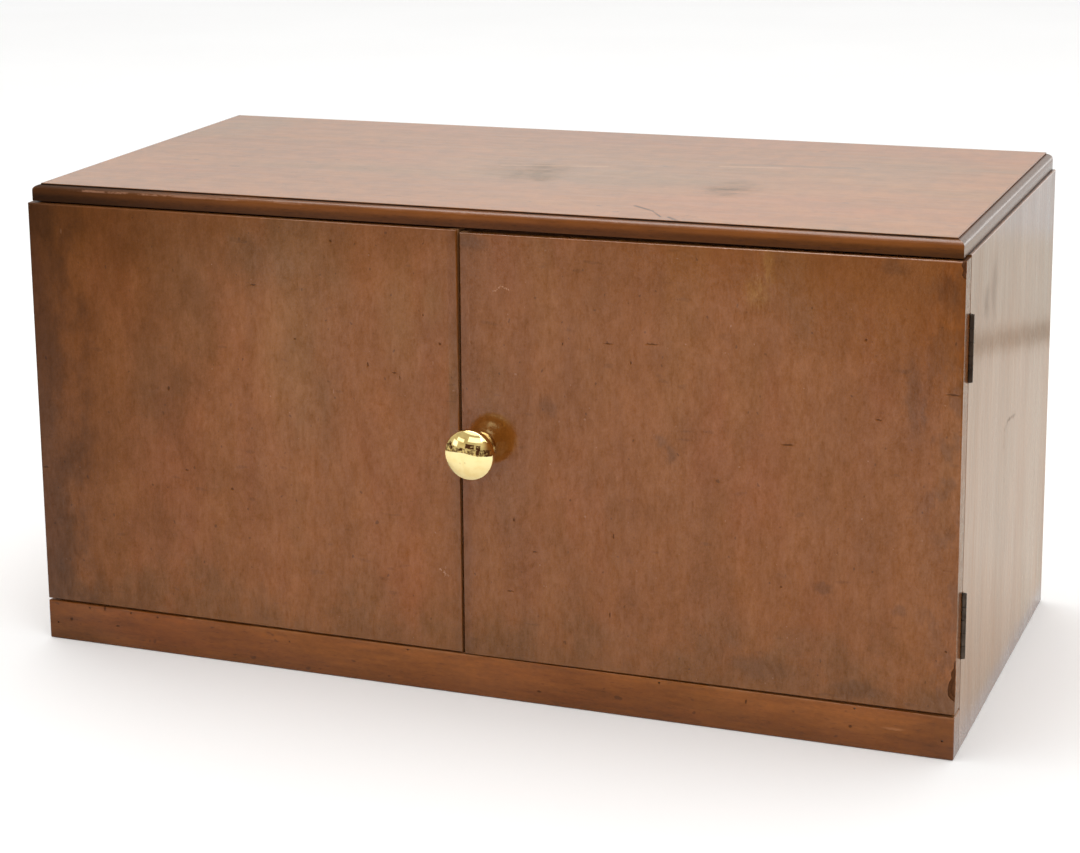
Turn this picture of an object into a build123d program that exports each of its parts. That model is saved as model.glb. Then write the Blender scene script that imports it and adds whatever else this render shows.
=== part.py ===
from build123d import *
from math import atan2, cos, pi, sin, sqrt, tan
import os

os.makedirs("parts", exist_ok=True)

# ------------------------------------------------------------------ driving dimensions, millimetres
# Row frame: +Z up, floor at z = 0, doors face -Y, origin under the middle of the whole object (knob included).
W = 585.0             # over the outer faces of the side panels (23 in)
H = 299.0             # floor to the flat of the top board
BODY_D = 285.0        # door face to the rear edges of the sides
KNOB_OUT = 25.5       # how far the knob stands out from the door face
SIDE_T = 14.0         # side panel thickness
DOOR_T = 14.0         # door thickness
DOOR_GAP = 0.6        # door back to carcass front edge
TOP_T = 10.7          # top board thickness
TOP_INSET = 2.0       # top board edge, in from each side face
TOP_SETBACK = 3.0     # top board front edge, back from the door face
MOULD_W = 4.2         # width of the worked moulding on plan
MOULD_STEP = 0.9      # small square quirk between flat and thumbnail
MOULD_ROUND = 3.2     # height of the thumbnail
PLINTH_H = 25.5       # plinth rail height
BOARD_Z = (22.0, 34.0)    # bottom board, underside and upper face
HOUSING = 5.0         # depth of the housing for the bottom board in each side
RAIL_W = 40.0         # top rails, width front to back
RAIL_T = 14.0         # top rails, thickness
BACK_T = 5.0          # back panel thickness
REBATE_W = 7.0        # back rebate width in the side panels
SHELF_Z = (152.0, 164.0)
BEARER = 12.0         # shelf bearer section
LIPPING = 6.0         # meeting-edge lipping width
EASE = 0.8            # eased arrises on show

Y0 = -(BODY_D + KNOB_OUT) / 2 + KNOB_OUT    # door face
YC = Y0 + DOOR_T + DOOR_GAP                 # carcass front edges
YR = Y0 + BODY_D                            # rear edges
YB = YR - BACK_T                            # inner face of the back panel
XO = W / 2                                  # outer face of a side
XI = XO - SIDE_T                            # inner face of a side
ZM = H - TOP_T                              # underside of the top board

# Door outlines on the front elevation (x, z). The right door has dropped at its free corner.
SEAM_TOP, SEAM_BOT = -2.6, -3.3
LEFT_DOOR = [(-XO, 26.8), (SEAM_BOT - 0.65, 26.6), (SEAM_TOP - 0.85, 287.0), (-XO, 287.3)]
RIGHT_DOOR = [(SEAM_BOT + 0.65, 25.9), (XO, 27.1), (XO, 287.3), (SEAM_TOP + 0.95, 285.7)]

# Butt hinges: 38.1 mm (1 1/2 in), pin on the line between door back and carcass front edge
HINGE_L = 38.1
HINGE_Z = {"lower": 75.5, "upper": 236.0}
AXIS_OUT = 0.5        # hinge line, out from the side face
AXIS_Y = Y0 + DOOR_T + DOOR_GAP / 2
LEAF_W, LEAF_T = 10.0, 1.0
KNUCKLE_R, PIN_R = 1.9, 1.0
KNUCKLE_GAP = 0.3
RUN = 0.07            # radial running clearance on the pins

# Knob
KNOB_X, KNOB_Z = 10.3, 157.5
KNOB_R = 15.1         # head radius
CROWN = 25.0          # radius of the crowned front
RIM = 1.0             # rounding at the rim

# Barrel bolts on the left door
BOLT_X = -21.0
BOLT_R, BOLT_RUN = 2.0, 0.08
BOLT_Y = Y0 + DOOR_T + 1.2 + 3.2
BOLT_TRAVEL = 8.0


# ------------------------------------------------------------------ helpers
def block(x0, x1, y0, y1, z0, z1):
    return Pos((x0 + x1) / 2, (y0 + y1) / 2, (z0 + z1) / 2) * Box(abs(x1 - x0), abs(y1 - y0), abs(z1 - z0))


def rod(r, p, q):
    """A cylinder of radius r from point p to point q."""
    a, b = Vector(*p), Vector(*q)
    d = b - a
    return Plane(origin=a, z_dir=d).location * Cylinder(r, d.length, align=(Align.CENTER, Align.CENTER, Align.MIN))


def turned(points):
    """Solid of revolution about Z from (radius, height) points."""
    return revolve(make_face(Plane.XZ * Polyline(*points, close=True)), Axis.Z)


def wood_screw(length, d, head_d, head_h=None, slack=0.0):
    """Countersunk slotted screw with its head's face at z = 0, pointing down -Z. With slack it is the hole for one."""
    r, hr = d / 2 + slack, head_d / 2 + slack
    hh = head_h if head_h is not None else (head_d - d) * 0.62
    tip = d * 1.1
    if slack:
        return turned([(0, 2), (hr, 2), (hr, 0), (r, -hh), (r, -(length - tip)), (0.25, -length - 0.1), (0, -length - 0.1)])
    s = turned([(0, 0), (hr, 0), (r, -hh), (r, -(length - tip)), (0.2, -length), (0, -length)])
    return s - block(-head_d, head_d, -0.35, 0.35, -min(0.7, hh * 0.5), 1)


def aimed(shape, at, into):
    """Places a screw with its head at a point, driven along a direction."""
    return Plane(origin=at, z_dir=tuple(-c for c in into)).location * shape


class Wood:
    """Collects the holes of each wooden piece so that every screw has its own."""

    def __init__(self):
        self.cuts = {}

    def cut(self, tool, *names):
        for n in names:
            self.cuts.setdefault(n, []).append(tool)


holes = Wood()
groups = {}


def drive(group, at, into, kind, *through):
    """One screw of a group, and its hole through the named pieces."""
    groups.setdefault(group, []).append(aimed(wood_screw(**kind), at, into))
    tool = aimed(wood_screw(**kind, slack=0.05), at, into)
    holes.cut(tool, *through)


NO4 = dict(length=9.5, d=2.7, head_d=5.0, head_h=1.7)
NO4_LONG = dict(length=13.0, d=2.7, head_d=5.0, head_h=1.7)
NO6 = dict(length=22.0, d=3.5, head_d=6.8, head_h=2.4)
NO6_SHORT = dict(length=19.0, d=3.5, head_d=6.8, head_h=2.4)
NO3 = dict(length=8.0, d=2.2, head_d=4.2, head_h=1.2)
NO4_BACK = dict(length=14.0, d=2.7, head_d=5.2, head_h=1.7)

parts = {}

# ------------------------------------------------------------------ carcass boards
mx, my = XO - TOP_INSET, Y0 + TOP_SETBACK
round_z = H - MOULD_STEP - MOULD_ROUND


def top_section_front():
    e = EllipticalCenterArc((my + MOULD_W, round_z), MOULD_W, MOULD_ROUND, 90, arc_size=90)
    line = Polyline((my, round_z), (my, ZM), (YR, ZM), (YR, H), (my + MOULD_W, H), (my + MOULD_W, H - MOULD_STEP))
    return make_face(Plane.YZ * (Curve() + [e, line]))


def top_section_ends():
    el = EllipticalCenterArc((-mx + MOULD_W, round_z), MOULD_W, MOULD_ROUND, 90, arc_size=90)
    er = EllipticalCenterArc((mx - MOULD_W, round_z), MOULD_W, MOULD_ROUND, 0, arc_size=90)
    a = Polyline((-mx, round_z), (-mx, ZM), (mx, ZM), (mx, round_z))
    b = Polyline((mx - MOULD_W, H - MOULD_STEP), (mx - MOULD_W, H), (-mx + MOULD_W, H), (-mx + MOULD_W, H - MOULD_STEP))
    return make_face(Plane.XZ * (Curve() + [el, a, er, b]))


along_x = extrude(top_section_front(), amount=XO + 20, both=True)
along_y = extrude(top_section_ends(), amount=BODY_D + 200, both=True)
top_board = along_x & along_y
# the arris between flat and quirk is rubbed down a little
flat_edges = [e for e in top_board.edges().filter_by(GeomType.LINE)
              if abs(e.center().Z - H) < 0.01 and abs(e.center().Y - YR) > 0.01]
top_board = fillet(flat_edges, 0.3)
parts["top_board"] = top_board


def side(s):
    b = block(s * XI, s * XO, YC, YR, 0, ZM)
    outer = [e for e in b.edges() if abs(abs(e.center().X) - XO) < 0.01]
    b = fillet(outer, 0.6)
    b -= block(s * (XI - 1), s * (XI + REBATE_W), YB, YR + 1, -1, ZM + 1)              # rebate for the back panel
    b -= block(s * (XI - 1), s * (XI + HOUSING), YC - 1, YB, *BOARD_Z)                  # housing for the bottom board
    return b


parts["left_side_panel"] = side(-1)
parts["right_side_panel"] = side(1)
parts["bottom_board"] = block(-XI - HOUSING, XI + HOUSING, YC, YB, *BOARD_Z)
plinth = block(-XO, XO, Y0, YC, 0, PLINTH_H)
show = [e for e in plinth.edges() if abs(e.center().Y - Y0) < 0.01 or (abs(abs(e.center().X) - XO) < 0.01 and abs(e.center().Z - PLINTH_H / 2) > 1 and abs(e.center().Y - YC) > 0.5)]
parts["plinth_rail"] = fillet(show, EASE)
front_rail = block(-XI, XI, YC, YC + RAIL_W, ZM - RAIL_T, ZM)
back_rail = block(-XI, XI, YB - RAIL_W, YB, ZM - RAIL_T, ZM)
parts["front_top_rail"] = front_rail
parts["back_top_rail"] = back_rail
parts["back_panel"] = block(-(XI + REBATE_W - 0.3), XI + REBATE_W - 0.3, YB, YR - 0.2, 10.0, ZM - 0.3)
parts["shelf"] = block(-XI + 0.4, XI - 0.4, YC + 27, YB - 0.5, *SHELF_Z)
for s, name in ((-1, "left"), (1, "right")):
    b = block(s * XI, s * (XI - BEARER), YC + 30, YB - 12, SHELF_Z[0] - BEARER, SHELF_Z[0])
    b = chamfer([e for e in b.edges() if abs(abs(e.center().X) - (XI - BEARER)) < 0.01 and abs(e.center().Z - (SHELF_Z[0] - BEARER)) < 0.01], 3)
    parts[f"{name}_shelf_bearer"] = b

# glue blocks in the angles under the bottom board
blocks = []
gb = 13.0
for x in (-215, -75, 75, 215):
    b = block(x - 24, x + 24, YC, YC + gb, BOARD_Z[0] - gb, BOARD_Z[0])
    b = chamfer([e for e in b.edges() if abs(e.center().Y - (YC + gb)) < 0.01 and abs(e.center().Z - (BOARD_Z[0] - gb)) < 0.01], 6)
    blocks.append(b)
for s in (-1, 1):
    for y in (Y0 + 110, Y0 + 220):
        b = block(s * XI, s * (XI - gb), y - 24, y + 24, BOARD_Z[0] - gb, BOARD_Z[0])
        b = chamfer([e for e in b.edges() if abs(abs(e.center().X) - (XI - gb)) < 0.01 and abs(e.center().Z - (BOARD_Z[0] - gb)) < 0.01], 6)
        blocks.append(b)
groups["glue_blocks"] = blocks

# dowels, two at each end of each rail
for s in (-1, 1):
    for y in (YC + 11, YC + 29, YB - 11, YB - 29):
        groups.setdefault("rail_dowels", []).append(rod(3.0, (s * (XI - 11), y, ZM - 7), (s * (XI + 8.6), y, ZM - 7)))
        tool = rod(3.03, (s * (XI - 11.2), y, ZM - 7), (s * (XI + 8.8), y, ZM - 7))
        holes.cut(tool, "left_side_panel" if s < 0 else "right_side_panel", "front_top_rail" if y < 0 else "back_top_rail")

# screws up through the rails into the top board
for x in (-235, -120, 120, 235):
    for y, rail in ((YC + 24, "front_top_rail"), (YB - 20, "back_top_rail")):
        drive("top_board_screws", (x, y, ZM - RAIL_T), (0, 0, 1), NO6, rail, "top_board")

# brads through the plinth rail into the sides' front edges and the bottom board's edge, punched below the surface
for x, z, into in ((-286.0, 11.0, "left_side_panel"), (-262.0, 23.6, "bottom_board"), (-232.0, 23.6, "bottom_board"),
                   (-40.0, 23.6, "bottom_board"), (120.0, 23.6, "bottom_board"), (236.0, 23.6, "bottom_board"),
                   (286.0, 11.0, "right_side_panel")):
    groups.setdefault("plinth_brads", []).append(rod(0.6, (x, Y0 + 0.8, z), (x, Y0 + 30, z)))
    holes.cut(rod(0.64, (x, Y0 - 1, z), (x, Y0 + 30.1, z)), "plinth_rail", into)

# screws through the back panel
for x in (-200, 0, 200):
    drive("back_panel_screws", (x, YR - 0.2, ZM - 7), (0, -1, 0), NO4_BACK, "back_panel", "back_top_rail")
    drive("back_panel_screws", (x, YR - 0.2, 28), (0, -1, 0), NO4_BACK, "back_panel", "bottom_board")
for s, p in ((-1, "left_side_panel"), (1, "right_side_panel")):
    for z in (62, 150, 240):
        drive("back_panel_screws", (s * (XI + 3.4), YR - 0.2, z), (0, -1, 0), NO4_BACK, "back_panel", p)

# shelf bearer screws
for s, p in ((-1, "left"), (1, "right")):
    for y in (YC + 60, YC + 130, YC + 200):
        drive("shelf_bearer_screws", (s * (XI - BEARER), y, SHELF_Z[0] - 6), (s, 0, 0), NO6_SHORT,
              f"{p}_shelf_bearer", f"{p}_side_panel")


# ------------------------------------------------------------------ doors
def door_blank(outline):
    face = make_face(Plane(origin=(0, Y0, 0), x_dir=(1, 0, 0), z_dir=(0, -1, 0)) * Polyline(*outline, close=True))
    b = extrude(face, amount=DOOR_T, dir=(0, 1, 0))
    front = [e for e in b.edges() if abs(e.center().Y - Y0) < 0.01]
    b = fillet(front, EASE)
    back = [e for e in b.edges() if abs(e.center().Y - (Y0 + DOOR_T)) < 0.01]
    return fillet(back, 0.4)


def split_lipping(blank, top, bottom, toward):
    """Splits a door at its meeting edge; toward is -1 when the panel lies to the left of the lipping."""
    a = [(bottom[0] - toward * 20, bottom[1] - 20), (bottom[0] + toward * LIPPING, bottom[1] - 20),
         (top[0] + toward * LIPPING, top[1] + 20), (top[0] - toward * 20, top[1] + 20)]
    face = make_face(Plane(origin=(0, Y0 - 5, 0), x_dir=(1, 0, 0), z_dir=(0, -1, 0)) * Polyline(*a, close=True))
    prism = extrude(face, amount=DOOR_T + 10, dir=(0, 1, 0))
    return blank - prism, blank & prism


# the right door's front arris has lost splinters by its hinges: outlines (in from the edge, height) and depth below the face
CHIPS = [
    ([(1, 61.5), (-0.7, 59.0), (-1.0, 55.2), (-2.5, 52.4), (-2.2, 49.0), (-3.5, 46.4), (-4.1, 42.0), (-3.7, 38.4), (-2.2, 36.6), (1, 34.4)], 0.9),
    ([(1, 57.0), (-0.5, 53.0), (-1.3, 48.5), (-2.4, 44.5), (-2.7, 40.5), (-1.2, 38.0), (1, 37.0)], 1.7),
    ([(1, 288), (-1.7, 288), (-2.6, 285.2), (-1.5, 282.6), (-2.2, 280.0), (-1.0, 278.0), (1, 276.6)], 0.8),
    ([(1, 288), (-0.7, 288), (-1.3, 285.0), (-0.6, 281.5), (1, 279.5)], 1.5),
]
left_blank, right_blank = door_blank(LEFT_DOOR), door_blank(RIGHT_DOOR)
for pts, deep in CHIPS:
    face = make_face(Plane(origin=(XO, Y0 - 1, 0), x_dir=(1, 0, 0), z_dir=(0, -1, 0)) * Polyline(*pts, close=True))
    right_blank -= extrude(face, amount=1 + deep, dir=(0, 1, 0))
parts["left_door_panel"], parts["left_door_lipping"] = split_lipping(left_blank, LEFT_DOOR[2], LEFT_DOOR[1], -1)
parts["right_door_panel"], parts["right_door_lipping"] = split_lipping(right_blank, RIGHT_DOOR[3], RIGHT_DOOR[0], 1)

# ------------------------------------------------------------------ butt hinges
seg = (HINGE_L - 4 * KNUCKLE_GAP) / 5


def hinge(s, zc, label):
    """s is +1 on the right side, -1 on the left. Carcass leaf has three knuckles, door leaf two."""
    ax = s * (XO + AXIS_OUT)
    z0 = zc - HINGE_L / 2
    g = DOOR_GAP / 2

    def plate(sign):
        p = block(ax - s * LEAF_W, ax, AXIS_Y + sign * g, AXIS_Y + sign * (g + LEAF_T), z0, z0 + HINGE_L)
        far = [e for e in p.edges() if abs(e.center().X - (ax - s * LEAF_W)) < 0.01 and abs(e.length - LEAF_T) < 0.01]
        return fillet(far, 0.8)

    def spans(idx):
        return [(z0 + i * (seg + KNUCKLE_GAP), z0 + i * (seg + KNUCKLE_GAP) + seg) for i in idx]

    def leaf(sign, own, other, bore):
        b = plate(sign)
        for a, c in spans(own):
            b += rod(KNUCKLE_R, (ax, AXIS_Y, a), (ax, AXIS_Y, c))
        for a, c in spans(other):
            b -= rod(KNUCKLE_R + 0.3, (ax, AXIS_Y, a - KNUCKLE_GAP), (ax, AXIS_Y, c + KNUCKLE_GAP))
        return b - rod(bore, (ax, AXIS_Y, z0 - 1), (ax, AXIS_Y, z0 + HINGE_L + 1))

    carcass_leaf = leaf(1, (0, 2, 4), (1, 3), PIN_R + 0.02)
    door_leaf = leaf(-1, (1, 3), (0, 2, 4), PIN_R + RUN)
    pin = rod(PIN_R, (ax, AXIS_Y, z0 - 0.4), (ax, AXIS_Y, z0 + HINGE_L + 0.4))
    pin = fillet(pin.edges(), 0.3)
    sx = ax - s * 6.0
    side_name = "right" if s > 0 else "left"
    pre = f"{side_name}_{label}_hinge"
    # mortises: leaf bed and room for the barrel
    room = rod(KNUCKLE_R + 0.35, (ax, AXIS_Y, z0 - 0.7), (ax, AXIS_Y, z0 + HINGE_L + 0.7))
    bed_c = block(ax - s * (LEAF_W + 0.1), ax + s * 2, AXIS_Y - 0.1, AXIS_Y + g + LEAF_T, z0 - 0.1, z0 + HINGE_L + 0.1)
    bed_d = block(ax - s * (LEAF_W + 0.1), ax + s * 2, AXIS_Y + 0.1, AXIS_Y - g - LEAF_T, z0 - 0.1, z0 + HINGE_L + 0.1)
    holes.cut(bed_c, f"{side_name}_side_panel")
    holes.cut(room, f"{side_name}_side_panel", f"{side_name}_door_panel")
    holes.cut(bed_d, f"{side_name}_door_panel")
    parts[f"{pre}_carcass_leaf"] = carcass_leaf
    parts[f"{pre}_door_leaf"] = door_leaf
    parts[f"{pre}_pin"] = pin
    for dz in (-11.5, 11.5):
        drive("carcass_hinge_screws", (sx, AXIS_Y + g, zc + dz), (0, 1, 0), NO4_LONG, f"{pre}_carcass_leaf", f"{side_name}_side_panel")
        drive(f"{side_name}_door_hinge_screws", (sx, AXIS_Y - g, zc + dz), (0, -1, 0), NO4, f"{pre}_door_leaf", f"{side_name}_door_panel")


for s in (-1, 1):
    for label, zc in HINGE_Z.items():
        hinge(s, zc, label)

# ------------------------------------------------------------------ knob, rose, fixing screw
at_knob = Plane(origin=(KNOB_X, Y0, KNOB_Z), x_dir=(1, 0, 0), z_dir=(0, -1, 0)).location
# round head with a shallow crowned front and a thin rim, drawn in behind to a short neck
neck = Spline((6.7, 2.4), (5.5, 5.2), (6.3, 9.4), (9.4, 13.2), (12.8, 16.1), (KNOB_R, 18.9), tangents=((-0.7, 0.7), (0, 1)))
CROWN_MID = KNOB_OUT - CROWN
EDGE = CROWN_MID + sqrt((CROWN - RIM) ** 2 - (KNOB_R - RIM) ** 2)      # where the rim begins to turn in
lean = atan2(KNOB_R - RIM, EDGE - CROWN_MID)
turn = (CROWN * sin(lean), CROWN_MID + CROWN * cos(lean))              # rim runs into crown here
side = Line((KNOB_R, 18.9), (KNOB_R, EDGE))
hr = 4 / 3 * tan((pi / 2 - lean) / 4) * RIM
rim = Bezier((KNOB_R, EDGE), (KNOB_R, EDGE + hr), (turn[0] + hr * cos(lean), turn[1] - hr * sin(lean)), turn)
hc = 4 / 3 * tan(lean / 4) * CROWN
crown = Bezier(turn, (turn[0] - hc * cos(lean), turn[1] + hc * sin(lean)), (hc, KNOB_OUT), (0, KNOB_OUT))
tapped = Polyline((0, KNOB_OUT), (0, 13.0), (2.02, 13.0), (2.02, 2.4), (6.7, 2.4))     # hole up the neck for the screw
knob = revolve(make_face(Plane.XZ * (Curve() + [neck, side, rim, crown, tapped])), Axis.Z)
parts["knob"] = at_knob * knob
rose = turned([(2.1, 0), (9.2, 0), (9.2, 0.8), (8.7, 1.7), (7.5, 2.4), (2.1, 2.4)])
rose = fillet([e for e in rose.edges() if abs(e.center().Z - 0.8) < 0.01 or abs(e.center().Z - 1.7) < 0.01], 0.45)
parts["knob_rose"] = at_knob * rose
back = Y0 + DOOR_T
washer = turned([(2.15, -DOOR_T - 0.8), (5.0, -DOOR_T - 0.8), (5.0, -DOOR_T), (2.15, -DOOR_T)])
parts["knob_washer"] = at_knob * washer
screw = turned([(0, -DOOR_T - 2.9), (2.6, -DOOR_T - 2.9), (3.7, -DOOR_T - 2.2), (3.7, -DOOR_T - 0.8), (1.98, -DOOR_T - 0.8),
                (1.98, 11.0), (1.4, 11.8), (0, 11.8)])
screw -= block(-5, 5, -0.45, 0.45, -DOOR_T - 4, -DOOR_T - 2.0)
parts["knob_screw"] = at_knob * screw
holes.cut(at_knob * Pos(0, 0, -DOOR_T / 2) * Cylinder(2.15, DOOR_T + 4), "right_door_panel")

# ------------------------------------------------------------------ magnetic catch under the front rail, plate on the right door
zr = ZM - RAIL_T
cy0, cy1 = YC + 0.9, YC + 13.5
case = block(30, 58, cy0, cy1, zr - 12, zr)
case = fillet(case.edges().filter_by(Axis.Z), 1.2)
for x0, x1 in ((21, 31), (57, 67)):
    ear = block(x0, x1, cy0 + 1.5, cy1 - 1.5, zr - 2.6, zr)
    case += ear
case -= block(33.5, 54.5, cy0 - 1, cy1 - 2.5, zr - 9.5, zr - 2.5)
parts["catch_case"] = case
plates = [block(33.6, 54.4, cy0 - 0.35, cy1 - 2.6, z0, z0 + 1.2) for z0 in (zr - 9.4, zr - 3.8)]
groups["catch_pole_plates"] = plates
parts["catch_magnet"] = block(34.2, 53.8, cy0 + 0.8, cy1 - 2.6, zr - 8.2, zr - 3.8)
for x in (25.5, 62.5):
    drive("catch_screws", (x, (cy0 + cy1) / 2, zr - 2.6), (0, 0, 1), NO3, "catch_case", "front_top_rail")
strike = block(34.5, 53.5, Y0 + DOOR_T - 0.9, Y0 + DOOR_T + 0.1, zr - 11.5, zr - 1.5)
strike = fillet(strike.edges().filter_by(Axis.Y), 1.5)
parts["catch_strike"] = strike
holes.cut(block(34.4, 53.6, Y0 + DOOR_T - 0.9, Y0 + DOOR_T + 2, zr - 11.6, zr - 1.4), "right_door_panel")
drive("catch_strike_screw", (44.0, Y0 + DOOR_T + 0.1, zr - 6.5), (0, -1, 0), NO3, "catch_strike", "right_door_panel")

# ------------------------------------------------------------------ barrel bolts on the left door
yb = Y0 + DOOR_T
for label, up in (("upper", 1), ("lower", -1)):
    end = zr if up > 0 else BOARD_Z[1]          # face the bolt shoots into
    z = lambda d: end - up * d                  # distance back from that face
    def span(a, b):
        return sorted((z(a), z(b)))
    plate = block(BOLT_X - 9, BOLT_X + 9, yb, yb + 1.2, *span(5.6, 49.0))
    plate = fillet(plate.edges().filter_by(Axis.Y), 2.0)
    for a, b in ((5.6, 14.5), (35.0, 47.0)):
        z0, z1 = span(a, b)
        guide = block(BOLT_X - 3.4, BOLT_X + 3.4, yb + 1.0, BOLT_Y, z0, z1) + rod(3.4, (BOLT_X, BOLT_Y, z0), (BOLT_X, BOLT_Y, z1))
        guide -= block(BOLT_X - 9, BOLT_X + 9, yb - 10, yb + 0.5, z0 - 1, z1 + 1)
        plate += guide
    plate -= rod(BOLT_R + BOLT_RUN, (BOLT_X, BOLT_Y, z(0)), (BOLT_X, BOLT_Y, z(60)))
    parts[f"{label}_bolt_plate"] = plate
    bolt = rod(BOLT_R, (BOLT_X, BOLT_Y, z(1.2)), (BOLT_X, BOLT_Y, z(50.5)))
    bolt = fillet(bolt.edges(), 0.5)
    grip = turned([(0, 0), (1.3, 0), (1.3, 4.2), (2.3, 5.2), (2.3, 7.0), (1.7, 7.8), (0, 7.8)])
    bolt += Plane(origin=(BOLT_X, BOLT_Y, z(30.0)), x_dir=(1, 0, 0), z_dir=(0, 1, 0)).location * grip
    parts[f"{label}_bolt"] = bolt
    for dx in (-6.3, 6.3):
        for d in (9.5, 43.0):
            drive("bolt_plate_screws", (BOLT_X + dx, yb + 1.2, z(d)), (0, -1, 0), NO3, f"{label}_bolt_plate", "left_door_panel")
    # keeper plate let in flush where the bolt enters
    deep = end + up * 1.0
    k0, k1 = sorted((end, deep))
    keeper = block(BOLT_X - 11, BOLT_X + 11, YC, YC + 9.5, k0, k1)
    keeper -= rod(BOLT_R + 0.45, (BOLT_X, BOLT_Y, end - 3), (BOLT_X, BOLT_Y, end + 3))
    board = "front_top_rail" if up > 0 else "bottom_board"
    parts[f"{label}_bolt_keeper"] = keeper
    holes.cut(block(BOLT_X - 11.05, BOLT_X + 11.05, YC - 1, YC + 9.6, k0 - (0 if up > 0 else 0), k1 + (0 if up > 0 else 2)) if up < 0
              else block(BOLT_X - 11.05, BOLT_X + 11.05, YC - 1, YC + 9.6, k0 - 2, k1), board)
    holes.cut(rod(BOLT_R + 0.45, (BOLT_X, BOLT_Y, end - up * 3), (BOLT_X, BOLT_Y, end + up * (BOLT_TRAVEL + 1.2))), board)
    for dx in (-7.2, 7.2):
        drive("keeper_screws", (BOLT_X + dx, YC + 5.0, end), (0, 0, up), NO3, f"{label}_bolt_keeper", board)

# ------------------------------------------------------------------ bore every hole, then write one file per piece
for name, tools in holes.cuts.items():
    shape = parts[name]
    for t in tools:
        shape = shape - t
    parts[name] = shape

for name, solids in groups.items():
    parts[name] = Compound(label=name, children=[x.solid() if not isinstance(x, Solid) else x for x in solids])

for name in sorted(parts):
    shape = parts[name]
    if not isinstance(shape, (Compound, Solid)):
        shape = Compound(children=list(shape.solids()))
    found = shape.solids()
    if name not in groups and len(found) != 1:
        print("WARNING", name, "has", len(found), "solids")
    if name in groups:
        out = Compound(label=name, children=list(found))
    else:
        out = found[0]
        out.label = name
    export_step(out, f"parts/{name}.step")

print(len(parts), "parts")
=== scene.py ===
import math

import bpy
from mathutils import Matrix, Vector

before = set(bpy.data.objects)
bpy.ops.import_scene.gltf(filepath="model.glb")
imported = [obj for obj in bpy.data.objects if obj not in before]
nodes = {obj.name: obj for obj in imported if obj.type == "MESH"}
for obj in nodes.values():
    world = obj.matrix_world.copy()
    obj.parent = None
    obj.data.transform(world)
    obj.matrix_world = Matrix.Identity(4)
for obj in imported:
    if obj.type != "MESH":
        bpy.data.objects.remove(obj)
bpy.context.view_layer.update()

scene = bpy.context.scene

# ---------------------------------------------------------------- sizes, metres
# Finishes are laid out on a drawing of the body alone; the knob's reach moves the body FORWARD in the frame.
FORWARD = -0.0030
Y0 = -0.12675            # door face
YD = -0.11275            # door back
YC = -0.11215            # carcass front edges
YR = 0.15825             # rear
XO, XI = 0.2925, 0.2785  # side panels, outer and inner face
H = 0.299                # flat of the top board
TOP_UNDER = 0.2883
SEAM = -0.0030           # meeting line of the doors
KNOB = (0.0103, -0.14700, 0.1575)


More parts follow.
